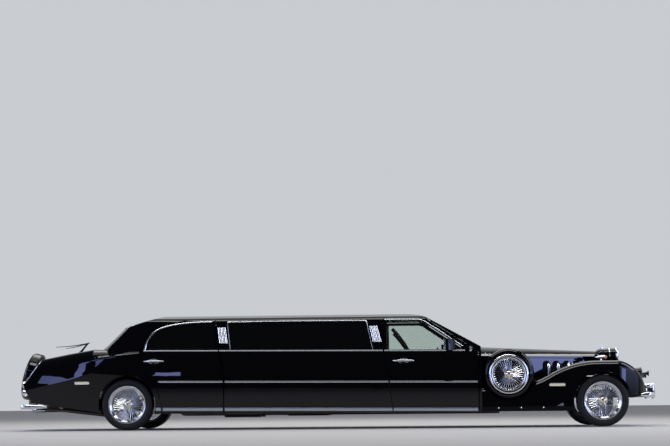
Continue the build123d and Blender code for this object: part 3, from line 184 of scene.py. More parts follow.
def new_piece(name, points, faces, finish, body="body", slot="chrome", crease=32):
    """A mesh piece that rides on a body; edges sharper than crease degrees stay crisp."""
    mesh = bpy.data.meshes.new(name)
    mesh.from_pydata([tuple(point) for point in points], [], faces)
    form = bmesh.new()
    form.from_mesh(mesh)
    bmesh.ops.remove_doubles(form, verts=form.verts, dist=2e-5)
    bmesh.ops.recalc_face_normals(form, faces=form.faces)
    for face in form.faces:
        face.smooth = True
    for edge in form.edges:
        edge.smooth = len(edge.link_faces) == 2 and edge.calc_face_angle(0) < radians(crease)
    form.to_mesh(mesh)
    form.free()
    mesh.materials.append(finish)
    piece = bpy.data.objects.new(name, mesh)
    bpy.context.scene.collection.objects.link(piece)
    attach(piece, body)
    return piece


def lofted(rings, looped=False, closed=True):
    """Points and faces over rings of points, all of one count.

    looped joins the last ring to the first; otherwise both ends get a flat face. closed joins
    each ring's last point to its first.
    """
    size, faces = len(rings[0]), []
    for i in range(len(rings) if looped else len(rings) - 1):
        here, there = i * size, (i + 1) % len(rings) * size
        for j in range(size if closed else size - 1):
            k = (j + 1) % size
            faces.append((here + j, here + k, there + k, there + j))
    points = [point for ring in rings for point in ring]
    if not looped:
        faces += [tuple(range(size)), tuple(range(len(points) - size, len(points)))[::-1]]
    return points, faces


def turned(profile, steps, closed=True):
    """A (radius, along) profile turned about the Y axis."""
    turns = [2 * pi * step / steps for step in range(steps)]
    rings = [[polar(radius, turn, along) for radius, along in profile] for turn in turns]
    return lofted(rings, True, closed)


def polar(radius, angle, along):
    """A point by radius and angle about the Y axis."""
    return (radius * cos(angle), along, radius * sin(angle))


def joined(*parts):
    """Several lots of points and faces as one."""
    points, faces = [], []
    for part_points, part_faces in parts:
        start = len(points)
        points += [tuple(point) for point in part_points]
        faces += [tuple(index + start for index in face) for face in part_faces]
    return points, faces


def moved(part, matrix):
    """A lot of points and faces, moved by a matrix."""
    points, faces = part
    return [tuple(matrix @ Vector(point)) for point in points], faces


def tyre_mesh():
    """A tyre about the Y axis with grooves round it and slots across its ribs."""
    edge = TYRE_HALF - 0.03
    steps = ((-0.0052, 0), (-0.004, 1), (0.004, 1), (0.0052, 0))
    tread = [(groove + step, deep) for groove in (-0.052, -0.018, 0.018, 0.052) for step, deep in steps]
    tread = [(-edge, 0), *tread, (edge, 0)]
    wall = [
        (RIM_R - 0.012, TYRE_HALF - 0.022), (RIM_R + 0.003, TYRE_HALF - 0.02),
        (RIM_R + 0.01, TYRE_HALF - 0.01), (RIM_R + 0.013, TYRE_HALF - 0.01),
        (RIM_R + 0.022, TYRE_HALF - 0.003), (RIM_R + 0.04, TYRE_HALF),
        (TYRE_R - 0.03, TYRE_HALF - 0.0035), (TYRE_R - 0.028, TYRE_HALF - 0.0075),
        (TYRE_R - 0.02, TYRE_HALF - 0.0095), (TYRE_R - 0.009, TYRE_HALF - 0.015),
    ]
    columns = [
        (2 * pi * (pitch + share) / TREAD_PITCHES, slot)
        for pitch in range(TREAD_PITCHES) for share, slot in ((0.0, 0), (0.74, 0), (0.78, 1), (0.96, 1))
    ]
    rings = []
    for angle, slot in columns:
        ring = [(radius, -along) for radius, along in wall]
        for along, deep in tread:
            rib = abs(along) > 0.0465 or abs(along) < 0.0105
            cut = GROOVE_DEPTH * (1 if deep else 0.7 if slot and rib else 0)
            ring.append((TYRE_R - cut - 0.9 * along ** 2 / 2, along))
        ring += wall[::-1]
        rings.append([polar(radius, angle, along) for radius, along in ring])
    return lofted(rings, looped=True)


def hub_place(row, side, outward=False):
    """The middle of a wheel; outward turns a right-hand one to face away from the car."""
    sign = 1 if side == "left" else -1
    place = Matrix.Translation((AXLE_X[row], sign * WHEEL_Y, WHEEL_Z))
    return place @ Matrix.Rotation(pi, 4, "Z") if outward and sign < 0 else place


for row, side in CORNERS:
    corner = row + "_" + side
    form = moved(tyre_mesh(), hub_place(row, side))
    tyre = new_piece("road_tyre_" + corner, *form, tyre_rubber, "wheel_" + corner, "tyre_rubber")
    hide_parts("tyre_" + corner)

# Wire wheels: chromed rim with a wide polished lip, 144 laced spokes in two rows, and a hub
# with a gilt cap and three ears. Spokes are cold-drawn steel, threaded into nipples.
SPOKES_A_ROW, SPOKE_R, NIPPLE_R = 72, 0.0019, 0.0034


def tube(start, end, radius_start, radius_end, sides=6):
    """A straight bar with its own end faces."""
    start, end = Vector(start), Vector(end)
    turn = (end - start).to_track_quat("Z", "Y").to_matrix()
    corners = [Vector((cos(2 * pi * i / sides), sin(2 * pi * i / sides), 0)) for i in range(sides)]
    return lofted([
        [tuple(centre + turn @ corner * radius) for corner in corners]
        for centre, radius in ((start, radius_start), (end, radius_end))
    ])


def spokes(hub_r, hub_y, rim_r, rim_y, sweep, count, turn):
    """A row of laced spokes: neighbours lean opposite ways by the sweep angle."""
    bars = []
    for i in range(count):
        angle = 2 * pi * (i + turn) / count
        lean = sweep if i % 2 else -sweep
        foot = polar(hub_r, angle + lean, hub_y)
        tip = polar(rim_r, angle, rim_y)
        neck = Vector(tip).lerp(Vector(foot), 0.12)
        bars.append(tube(foot, tip, SPOKE_R, SPOKE_R, 5))
        bars.append(tube(neck, tip, NIPPLE_R * 0.8, NIPPLE_R, 6))
    return joined(*bars)


def wire_wheel():
    """One wheel about the Y axis, its outer face towards +Y."""
    lip = [
        (RIM_R - 0.014, TYRE_HALF - 0.022), (RIM_R - 0.004, TYRE_HALF - 0.019),
        (RIM_R, TYRE_HALF - 0.014), (RIM_R - 0.002, TYRE_HALF - 0.0095),
        (RIM_R - 0.01, TYRE_HALF - 0.0085), (RIM_R - 0.016, TYRE_HALF - 0.011),
        (RIM_R - 0.022, TYRE_HALF - 0.02), (RIM_R - 0.04, TYRE_HALF - 0.03),
        (0.203, TYRE_HALF - 0.036), (0.2, TYRE_HALF - 0.044), (0.198, TYRE_HALF - 0.078),
        (0.2, TYRE_HALF - 0.092), (0.212, -TYRE_HALF + 0.03), (0.218, -TYRE_HALF + 0.012),
        (RIM_R - 0.006, -TYRE_HALF + 0.01), (RIM_R, -TYRE_HALF + 0.014),
        (RIM_R - 0.003, -TYRE_HALF + 0.02), (RIM_R - 0.016, -TYRE_HALF + 0.022),
    ]
    hub = [
        (0.0, 0.062), (0.046, 0.062), (0.056, 0.058), (0.06, 0.05), (0.058, 0.041), (0.044, 0.034),
        (0.04, 0.0), (0.043, -0.024), (0.058, -0.03), (0.058, -0.04), (0.0, -0.04),
    ]
    return joined(
        turned(lip, 96), turned(hub, 48, closed=False),
        spokes(0.055, 0.048, 0.2005, 0.064, radians(32), SPOKES_A_ROW, 0.0),
        spokes(0.053, -0.032, 0.1995, 0.036, radians(28), SPOKES_A_ROW, 0.5),
    )


def knock_off():
    """The cap that locks a wheel to its hub: a dome with three swept ears."""
    cap = [(0.0, 0.098), (0.014, 0.0975), (0.028, 0.094), (0.039, 0.086), (0.045, 0.076), (0.056, 0.072),
           (0.058, 0.066), (0.055, 0.0615), (0.0, 0.0615)]
    ears = []
    for i in range(3):
        turn = Matrix.Rotation(2 * pi * i / 3 + pi / 2, 4, "Y")
        ears.append(moved(tube((0.026, 0.078, 0), (0.078, 0.084, 0), 0.015, 0.009, 12), turn))
    return joined(turned(cap, 40, closed=False), *ears)


gilt_plate = new_finish(
    "gilt_chrome_plate", "#dcd5c0", {"Metallic": 1.0, "Roughness": 0.1}, rough=(40, 0.07, 0.15)
)
CAP_TURN = 0.4
wheel_form = wire_wheel()
for row, side in CORNERS:
    corner, place = row + "_" + side, hub_place(row, side, outward=True)
    wheel = new_piece("wire_wheel_" + corner, *moved(wheel_form, place), chrome_plate, "wheel_" + corner)
    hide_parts("wheel_" + corner)
    form = moved(knock_off(), place @ Matrix.Rotation(CAP_TURN, 4, "Y"))
    new_piece("knock_off_" + corner, *form, gilt_plate, "wheel_" + corner)

# Side mouldings: extruded aluminium strips, bright dipped, clipped along the doors and panels.
# The sill strip is a wider one, brushed along its length.
def arc_centre(a, b, c):
    """Centre and radius of the circle through three points of a plane."""
    (ax, ay), (bx, by), (cx, cy) = a, b, c
    d = 2 * (ax * (by - cy) + bx * (cy - ay) + cx * (ay - by))
    sa, sb, sc = ax * ax + ay * ay, bx * bx + by * by, cx * cx + cy * cy
    x = (sa * (by - cy) + sb * (cy - ay) + sc * (ay - by)) / d
    y = (sa * (cx - bx) + sb * (ax - cx) + sc * (bx - ax)) / d
    return x, y, sqrt((ax - x) ** 2 + (ay - y) ** 2)


BELT_FALL = 0.0085
SIDE_ARC = arc_centre((0.962, 0.302), (0.972, 0.62), (0.932, 0.999))


def side_y(x, z):
    """Half width of the lower body at a height; its section falls with the belt line."""
    level = z + BELT_FALL * x
    if level < 0.302:
        return 0.94 + 0.022 * (level - 0.152) / 0.15
    return SIDE_ARC[0] + sqrt(SIDE_ARC[2] ** 2 - (level - SIDE_ARC[1]) ** 2)


def house_y(z):
    """Half width of the glasshouse at a height below the roof rails."""
    return 0.918 - 0.17 * (z - 0.96) / 0.445


def swept(path, outs, section, closed=False):
    """Sweep a section, (out, up) points, along a path; outs gives each point's outward direction."""
    path = [Vector(point) for point in path]
    count, rings = len(path), []
    for i, point in enumerate(path):
        before = path[(i - 1) % count] if closed or i else point
        after = path[(i + 1) % count] if closed or i < count - 1 else point
        along = (after - before).normalized()
        out = Vector(outs[i])
        out = (out - along * out.dot(along)).normalized()
        up = along.cross(out)
        corner = 1.0
        if (closed or 0 < i < count - 1) and (point - before).length > 0:
            corner = 1 / max(0.5, abs((point - before).normalized().dot(along)))
        rings.append([tuple(point + out * a + up * b * corner) for a, b in section])
    return lofted(rings, looped=closed)


def bead(height, proud, sink=0.003):
    """A domed strip's section, from below to above."""
    half = height / 2
    return [
        (-sink, -half), (proud * 0.45, -half), (proud * 0.85, -half * 0.72), (proud, -half * 0.3),
        (proud, half * 0.3), (proud * 0.85, half * 0.72), (proud * 0.45, half), (-sink, half),
    ]


def both_sides(name, form, finish, body="body", slot="chrome", crease=32):
    """A piece on the left and its mirror image on the right; a body ending in _ takes the side."""
    points, faces = form
    mirrored = [(x, -y, z) for x, y, z in points], faces
    return [
        new_piece(
            name + "_" + side, *part, finish, body + side if body.endswith("_") else body, slot, crease
        )
        for side, part in (("left", form), ("right", mirrored))
    ]


# Brush marks: real ones are finer; 0.8 mm apart and 60 mm long so that they show
brushed_strip = new_finish(
    "brushed_aluminium_strip", "#b9bcc4", {"Metallic": 1.0, "Roughness": 0.3}, rough=(0.8, 0.22, 0.42),
    grain=(0.8, 0.02), stretch=(0.013, 1, 1), detail=2.0,
)
bright_strip = new_finish(
    "bright_dipped_aluminium", "#cfd2d8", {"Metallic": 1.0, "Roughness": 0.12}, rough=(80, 0.09, 0.18)
)


def spread(start, end, steps):
    """Evenly spaced values from start to end."""
    return [start + (end - start) * i / steps for i in range(steps + 1)]


def side_strip(x_rear, x_front, height, size):
    """A strip along the body side between two stations."""
    path, outs = [], []
    for x in spread(x_rear, x_front, 8):
        z = height - BELT_FALL * x
        path.append((x, side_y(x, z), z))
        outs.append((0, 1, (side_y(x, z - 0.005) - side_y(x, z + 0.005)) / 0.01))
    return swept(path, outs, bead(*size))


# strip name, height at x = 0, (height, proud), finish; then runs: piece, rear and front ends
STRIPS = [
    ("side_strip", 0.604, (0.022, 0.011), bright_strip, [
        ("rear_door", -2.237, -1.399), ("panel", -1.372, 0.748), ("front_door", 0.768, 1.898)]),
    ("sill_strip", 0.252, (0.044, 0.009), brushed_strip, [
        ("quarter", -2.272, -2.205), ("rear_door", -2.18, -1.399), ("panel", -1.372, 0.796),
        ("front_door", 0.812, 1.898)]),
]
for strip, height, size, finish, runs in STRIPS:
    for run, x_rear, x_front in runs:
        body = run + "_" if "door" in run else "body"
        both_sides(run + "_" + strip, side_strip(x_rear, x_front, height, size), finish, body)

# Window frames: rolled bright trim round the side windows and along the belt line.
# Each length is a strip of stainless steel rolled to its curve and snapped over clips.
FRONT_TRIM = [
    (0.704, 1.411), (1.128, 1.411), (1.196, 1.4), (1.262, 1.362), (1.48, 1.212), (1.712, 1.052),
]
REAR_TRIM = [
    (-2.434, 1.024), (-2.428, 1.06), (-2.417, 1.132), (-2.392, 1.196), (-2.348, 1.258), (-2.29, 1.305),
    (-2.2, 1.343), (-2.1, 1.366), (-1.98, 1.386), (-1.84, 1.399), (-1.7, 1.405), (-1.562, 1.405),
]
MIDDLE_TRIM = [
    (-1.309, 1.024), (-1.362, 1.39), (-1.352, 1.404), (0.44, 1.404), (0.47, 1.392), (0.553, 1.016),
]


def rounded(path, cuts=3):
    """A path with its points smoothed, its ends kept."""
    for _ in range(cuts):
        finer = [path[0]]
        for a, b in zip(path[:-1], path[1:]):
            finer.append(tuple(p * 0.75 + q * 0.25 for p, q in zip(a, b)))
            finer.append(tuple(p * 0.25 + q * 0.75 for p, q in zip(a, b)))
        path = finer + [path[-1]]
    return path


def house_strip(line, size):
    """A strip on the glasshouse side along a side-view line."""
    path = [(x, house_y(z), z) for x, z in line]
    return swept(path, [(0, 1, 0.38)] * len(path), bead(*size))


for name, body, line, size in (
    ("front_door_trim", "front_door_", rounded(FRONT_TRIM), (0.011, 0.006)),
    ("rear_door_trim", "rear_door_", rounded(REAR_TRIM), (0.015, 0.006)),
    ("middle_trim", "body", rounded(MIDDLE_TRIM, 2), (0.011, 0.006)),
):
    both_sides(name, house_strip(line, size), bright_strip, body)
for run, body, x_rear, x_front in (
    ("rear_door", "rear_door_", -2.442, -1.468), ("panel", "body", -1.452, 0.682),
    ("front_door", "front_door_", 0.7, 1.742),
):
    path = [(x, 0.917, 1.003 - BELT_FALL * x) for x in spread(x_rear, x_front, 6)]
    form = swept(path, [(0, 1, 0.35)] * 7, bead(0.019, 0.019, 0.012))
    both_sides(run + "_belt_trim", form, bright_strip, body)

# Pillar bars: three leaning white-finished bars on a foot, on each side of the middle window.
# Cast and plated as one badge-like piece of trim, fixed to the pillar with hidden studs.
bar_enamel = new_finish(
    "plated_pillar_bar", "#f2f3f5", {"Metallic": 0.85, "Roughness": 0.22}, rough=(60, 0.18, 0.3)
)
for group, top_x, foot_x in (("rear", -1.47, -1.44), ("front", 0.52, 0.566)):
    bars = [
        house_strip([(foot_x + 0.04 * i, 1.132), (top_x + 0.037 * i, 1.328)], (0.026 - 0.002 * i, 0.007))
        for i in range(3)
    ]
    bars.append(house_strip([(foot_x - 0.018, 1.122), (foot_x + 0.098, 1.122)], (0.012, 0.009)))
    both_sides("pillar_bars_" + group, joined(*bars), bar_enamel)

# Side-mounted spares: the face of a wire wheel in a painted hard cover with a bright ring.
# The ring is a spun steel hoop, plated; the spokes are the same drawn wire as the road wheels'.
SPARE_X, SPARE_Z, SPARE_OUT_Y = 2.3, 0.683, 0.93
spare_ring = [
    (0.2535, SPARE_OUT_Y - 0.029), (0.2535, SPARE_OUT_Y - 0.004), (0.248, SPARE_OUT_Y + 0.001),
    (0.238, SPARE_OUT_Y + 0.003), (0.23, SPARE_OUT_Y - 0.001), (0.2285, SPARE_OUT_Y - 0.01),
    (0.2285, SPARE_OUT_Y - 0.029),
]
spare_rim = [
    (0.22, SPARE_OUT_Y - 0.029), (0.219, SPARE_OUT_Y - 0.011), (0.213, SPARE_OUT_Y - 0.008),
    (0.206, SPARE_OUT_Y - 0.011), (0.2, SPARE_OUT_Y - 0.02), (0.19, SPARE_OUT_Y - 0.026),
    (0.188, SPARE_OUT_Y - 0.029),
]
spare_hub = [
    (0.0, SPARE_OUT_Y + 0.006), (0.04, SPARE_OUT_Y + 0.006), (0.05, SPARE_OUT_Y + 0.002),
    (0.053, SPARE_OUT_Y - 0.006), (0.053, SPARE_OUT_Y - 0.029), (0.0, SPARE_OUT_Y - 0.029),
]
spare_face = joined(
    turned(spare_ring, 96), turned(spare_rim, 96), turned(spare_hub, 40),
    spokes(0.05, SPARE_OUT_Y - 0.004, 0.1935, SPARE_OUT_Y - 0.0235, radians(30), SPOKES_A_ROW, 0.0),
)
spare_cap = moved(knock_off(), Matrix.Translation((0, SPARE_OUT_Y - 0.056, 0)))
for name, form, finish in (
    ("spare_wire_face", spare_face, chrome_plate), ("spare_knock_off", spare_cap, gilt_plate),
):
    form = moved(form, Matrix.Translation((SPARE_X, 0, SPARE_Z)))
    for piece in both_sides(name, form, finish):
        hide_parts("side_spare_faces")

# Handles, cups and mirrors: cast zinc pull handles over dished cups, the handles and cup rims chromed; each
# dish is dark, partly the black paint of the recess and partly painted shade in it.
# The handle is bolted through the door skin; the cup is let into it.
# rear end, front end and height of each handle
HANDLES = {"front": (0.811, 1.083, 0.869), "rear": (-2.433, -2.172, 0.892)}


def skin_y(node, x, z):
    """How far out a CAD node's skin lies at a place on the left side."""
    hit, place, _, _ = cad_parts[node].ray_cast(Vector((x, 3, z)), Vector((0, -1, 0)))
    return place.y if hit else side_y(x, z)


def oval_loop(place, one, other, count):
    """A ring of points round a place, drawn out along two directions."""
    turns = [2 * pi * j / count for j in range(count)]
    return [tuple(Vector(place) + Vector(one) * cos(t) + Vector(other) * sin(t)) for t in turns]


def pull_handle(x_rear, x_front, z, skin):
    """A slim bar, thick in the middle and tapered to its ends, on two feet."""
    rings = []
    for share in spread(0, 1, 20):
        x = x_rear + (x_front - x_rear) * share
        wide = 0.3 + 0.7 * sin(pi * min(max(share, 0.02), 0.98)) ** 0.6
        y = skin + 0.013 + 0.011 * sin(pi * share) ** 0.7
        rings.append(oval_loop((x, y, z), (0, 0.0075 * wide, 0), (0, 0, 0.0125 * wide), 16))
    feet = [
        tube((x, skin - 0.004, z), (x, skin + 0.016, z), 0.0125, 0.009, 16)
        for x in (x_rear + 0.035, x_front - 0.035)
    ]
    return joined(lofted(rings), *feet)


# Painted shade: the dish's near-black is the recess's black paint and the shade inside it
recess_paint_and_shade = new_finish("dark_recess_paint_and_shade", "#0a0a0c", {"Roughness": 0.25}, grain=(2, 0.02))
cup_dish = turned([(0.0, 0.0015), (0.92, 0.002), (1.0, 0.0035), (1.0, -0.003), (0.0, -0.003)], 48)
for row, (x_rear, x_front, z) in HANDLES.items():
    door, middle = row + "_door_", (x_rear + x_front) / 2
    skin = skin_y(door + "left", middle, z)
    cup_place = Matrix.Translation((middle, skin, z - 0.002)) @ Matrix.Diagonal((0.066, 1, 0.03, 1))
    handles = both_sides(row + "_handle", pull_handle(x_rear, x_front, z, skin), chrome_plate, door)
    for side, piece in zip(("left", "right"), handles):
        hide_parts(door + "handle_" + side)
    loop = oval_loop((middle, skin, z - 0.002), (0.066, 0, 0), (0, 0, 0.03), 48)
    cup = swept(loop, [(0, 1, 0)] * 48, bead(0.007, 0.004, 0.004), closed=True)
    both_sides(row + "_handle_cup", cup, chrome_plate, door)
    both_sides(row + "_handle_dish", moved(cup_dish, cup_place), recess_paint_and_shade, door)

mirror_silver = new_finish(
    "silvered_mirror_glass", "#e3e7ea", {"Metallic": 1.0, "Roughness": 0.01}, rough=(200, 0.005, 0.02)
)
MIRROR_FACE = [(1.4715, 0.975), (1.4752, 1.08), (1.487, 1.122)]
mirror_glass = lofted([
    [(x - 0.0016, y, 1.008), (x - 0.0016, y, 1.128), (x + 0.004, y, 1.128), (x + 0.004, y, 1.008)]
    for x, y in MIRROR_FACE
])
mirror_cap = swept(
    [(1.469, 0.97, 1.002), (1.4745, 1.08, 1.002), (1.488, 1.123, 1.002), (1.488, 1.123, 1.133),
     (1.4745, 1.08, 1.133), (1.469, 0.97, 1.133)],
    [(-1, 0, 0)] * 6, bead(0.008, 0.003, 0.003), closed=True,
)
both_sides("mirror_glass", mirror_glass, mirror_silver, "front_door_")
both_sides("mirror_rim", mirror_cap, chrome_plate, "front_door_")

# Head, driving, marker and tail lamps.
# Spun reflectors behind fluted glass in chromed rims; small lamps have moulded acrylic lenses.
fluted_glass = new_finish(
    "pressed_lamp_glass", "#f4f8f8", {"Roughness": 0.03, "IOR": 1.5, "Transmission Weight": 1.0},
    rough=(30, 0.02, 0.06),
)
amber_lens = new_finish(
    "moulded_amber_acrylic", "#e08a5c", {"Roughness": 0.08, "Coat Weight": 0.6, "Coat Roughness": 0.03},
    shades=(10, "#e59468", "#cf7444"),
)
red_lens = new_finish(
    "moulded_red_acrylic", "#7a0d0d", {"Roughness": 0.1, "Coat Weight": 0.8, "Coat Roughness": 0.03},
    shades=(10, "#8a1010", "#5c0808"),
)
cream_lens = new_finish(
    "moulded_cream_acrylic", "#e9dfc2", {"Roughness": 0.12, "Coat Weight": 0.5, "Coat Roughness": 0.03},
    shades=(10, "#eee6cc", "#dccfa8"),
)


def facing(form, place, turn=-pi / 2):
    """Turn a form made about the Y axis to face along the car, at a place."""
    return moved(form, Matrix.Translation(place) @ Matrix.Rotation(turn, 4, "Z"))


def lamp_part(name, place, profile, steps, finish, slot="chrome", closed=True, turn=-pi / 2):
    """A turned part that faces along the car, on both sides."""
    return both_sides(name, facing(turned(profile, steps, closed), place, turn), finish, "body", slot)


HEADLAMP_AT = (0, 0.52, 0.92)
GLASS_R, GLASS_STEPS = 0.0818, 14
lens_outer, lens_inner = [], []
for i in range(GLASS_STEPS + 1):
    r = GLASS_R * (1 - i / GLASS_STEPS)
    dome = 0.0175 * (1 - (r / GLASS_R) ** 2)
    lens_outer.append((r, 3.74 + dome + 0.00035 * cos(i * pi)))
    lens_inner.append((r, 3.737 + dome))
lamp_part("headlamp_rim", HEADLAMP_AT, [
    (0.0835, 3.7475), (0.089, 3.75), (0.0965, 3.745), (0.1018, 3.735), (0.1025, 3.72),
    (0.099, 3.715), (0.0952, 3.715), (0.0952, 3.7222), (0.0835, 3.7222),
], 72, chrome_plate)
lamp_part("headlamp_dish", HEADLAMP_AT, [
    (0.0815, 3.738), (0.07, 3.732), (0.05, 3.727), (0.025, 3.724), (0.0, 3.7232),
], 72, chrome_plate, "chrome", False)
for piece in lamp_part(
    "headlamp_glass", HEADLAMP_AT, lens_outer + lens_inner[::-1], 72, fluted_glass, "clear_glass"
):
    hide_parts("headlamp_lenses")
lamp_part("headlamp_bulb", HEADLAMP_AT, [
    (0.0, 3.735), (0.006, 3.7335), (0.0085, 3.729), (0.007, 3.725), (0.0, 3.724),
], 20, cream_lens, "lamp_plastic", False)
lamp_part("headlamp_band", HEADLAMP_AT, [
    (0.0935, 3.64), (0.0962, 3.638), (0.0968, 3.633), (0.0955, 3.629), (0.0925, 3.628),
], 72, chrome_plate)
lamp_part("indicator_lens", (0, 0.74, 0.89), [
    (0.0278, 3.55), (0.0279, 3.554), (0.0262, 3.563), (0.0215, 3.572), (0.013, 3.5788), (0.0, 3.5815),
], 40, amber_lens, "lamp_plastic", False)

DRIVING_LAMP_AT = (0, 0.25, 0.69)
lamp_part("driving_lamp_glass", DRIVING_LAMP_AT, [
    (0.0, 4.099), (0.03, 4.0975), (0.055, 4.093), (0.068, 4.084), (0.068, 4.0785), (0.0, 4.0925),
], 48, fluted_glass, "clear_glass", False)
lamp_part("driving_lamp_rim", DRIVING_LAMP_AT, [
    (0.068, 4.085), (0.0735, 4.084), (0.076, 4.078), (0.075, 4.07), (0.0722, 4.07),
], 48, chassis_enamel, "chassis_black")

# Horns: two spun trumpets a side on the lamp crossbar, in black enamel
horn_line = [
    (0.0, 3.962), (0.016, 3.966), (0.018, 3.99), (0.009, 3.998), (0.009, 4.08), (0.014, 4.12),
    (0.024, 4.145), (0.036, 4.16), (0.037, 4.163), (0.034, 4.164), (0.022, 4.148), (0.011, 4.122),
    (0.006, 4.09), (0.0, 4.085),
]
for number, y, z in ((1, 0.372, 0.684), (2, 0.12, 0.66)):
    lamp_part("horn_%d" % number, (0, y, z), horn_line, 32, chassis_enamel, "chassis_black", False)

# Side markers: a chromed frame round a moulded lens, on the front wing and the rear quarter
for name, node, x_rear, x_front, z_low, z_high in (
    ("front_marker", "front_wing_left", 2.812, 3.018, 0.523, 0.558),
    ("rear_marker", "quarter_left", -3.34, -3.146, 0.6, 0.636),
):
    x, z = (x_rear + x_front) / 2, (z_low + z_high) / 2
    rear_y, front_y = skin_y(node, x_rear, z), skin_y(node, x_front, z)
    half_x, half_z = (x_front - x_rear) / 2, (z_high - z_low) / 2
    corners = [
        (half_x - half_z * 0.7 + half_z * 0.7 * cos(a), half_z * sin(a))
        for a in (pi * (k / 8 - 0.5) for k in range(9))
    ]
    path = [
        (x + u, rear_y + (front_y - rear_y) * (x + u - x_rear) / (x_front - x_rear), z + v)
        for u, v in corners + [(-u, v) for u, v in corners[::-1]]
    ]
    size = len(path)
    frame_part = swept(path, [(0, 1, 0)] * size, bead(0.006, 0.008, 0.006), closed=True)
    both_sides(name + "_frame", frame_part, chrome_plate)
    points = [(px, py + out, pz) for out in (0.0045, -0.004) for px, py, pz in path]
    points.append((x, (rear_y + front_y) / 2 + 0.0075, z))
    faces = [(i, (i + 1) % size, 2 * size) for i in range(size)]
    faces += [(i, size + i, size + (i + 1) % size, (i + 1) % size) for i in range(size)]
    faces.append(tuple(range(size, 2 * size)))
    both_sides(name + "_lens", (points, faces), cream_lens, slot="lamp_plastic")

# Tail lamps: red domes in the chromed barrels, two on each side, and one cream lamp on a cup
for number, z in ((1, 0.5), (2, 0.605)):
    lamp_part("tail_lamp_lens_%d" % number, (-4.046, 0.725, z), [
        (0.0395, 0.0265), (0.0385, 0.031), (0.03, 0.0375), (0.016, 0.0428), (0.0, 0.0445),
    ], 40, red_lens, "lamp_plastic", False, pi / 2)
CREAM_LAMP_AT, CREAM_LAMP_TURN = (-4.005, -0.4, 0.735), pi / 2 + 0.5
cream_dome = [(0.0, 0.016), (0.018, 0.013), (0.028, 0.004), (0.03, -0.01), (0.0, -0.01)]
cream_cup = [
    (0.0, -0.008), (0.031, -0.008), (0.0325, 0.001), (0.0335, -0.002), (0.032, -0.016), (0.022, -0.034),
    (0.013, -0.05), (0.013, -0.076), (0.0, -0.076),
]
for name, line, finish, slot in (
    ("cream_lamp", cream_dome, cream_lens, "lamp_plastic"),
    ("cream_lamp_cup", cream_cup, chrome_plate, "chrome"),
):
    form = facing(turned(line, 32, False), CREAM_LAMP_AT, CREAM_LAMP_TURN)
    new_piece(name, *form, finish, slot=slot)

# Radiator core, bolted into the shell behind its plated slats.
# It is drawn brass tube and fin, blacked; the fins run across at 3 mm, drawn here at 6.
radiator_core = new_finish("blacked_radiator_core", "#0c0c0d", {"Roughness": 0.6})
tree = radiator_core.node_tree
fins = add_node(
    tree, "ShaderNodeTexWave", {"bands_direction": "Z", "Scale": 1000 / 6 / 20},
    {"Vector": add_node(tree, "ShaderNodeTexCoord").outputs["Object"]},
)
relief = add_node(
    tree, "ShaderNodeBump", {"Strength": 1.0, "Distance": 0.001}, {"Height": fins.outputs[1]}
)
tree.links.new(relief.outputs[0], tree.nodes["Principled BSDF"].inputs["Normal"])


def slab(x_low, x_high, y_low, y_high, z_low, z_high):
    """A plain flat panel given by its limits."""
    corners = (y_low, z_low), (y_high, z_low), (y_high, z_high), (y_low, z_high)
    return lofted([[(x, y, z) for y, z in corners] for x in (x_low, x_high)])


core = slab(3.6005, 3.608, -0.226, 0.226, 0.462, 0.915)
new_piece("radiator_core", *core, radiator_core, slot="chassis_black")

# Bumpers: slim pressed steel blades with crowned faces and tapered ends, chromed.
# Two rubber-backed overriders tie the upper and lower front blades together.
def bumper_blade(x_middle, x_corner, corner_y, x_tip, z, height, tip_share):
    """One blade across the car, bowed, wrapped round its corners and tapered to its tips."""
    turn_r, way = 0.03, 1 if x_corner > x_tip else -1
    x_end = x_corner - way * turn_r
    half = []
    for share in spread(0, 1, 16):
        half.append((x_middle + (x_corner - x_middle) * share ** 2.64, corner_y * share, 1.0))
    for angle in spread(0, pi / 2, 6)[1:]:
        half.append((x_end + way * turn_r * cos(angle), corner_y + turn_r * sin(angle), 1.0))
    for share in spread(0, 1, 8)[1:]:
        size = 1 - (1 - tip_share) * share ** 1.6
        half.append((x_end + (x_tip - x_end) * share, corner_y + turn_r + 0.004 * share, size))
    line = [(x, -y, s) for x, y, s in half[:0:-1]] + half
    path = [(x, y, z) for x, y, _ in line]
    section, rings = bead(height, 0.016, 0.014), []
    for i, (_, _, size) in enumerate(line):
        along = (Vector(path[min(i + 1, len(path) - 1)]) - Vector(path[max(i - 1, 0)])).normalized()
        out = Vector((along.y * way, -along.x * way, 0))
        up = along.cross(out)
        rings.append([
            tuple(Vector(path[i]) + out * a * (0.4 + 0.6 * size) + up * b * size) for a, b in section
        ])
    return lofted(rings)


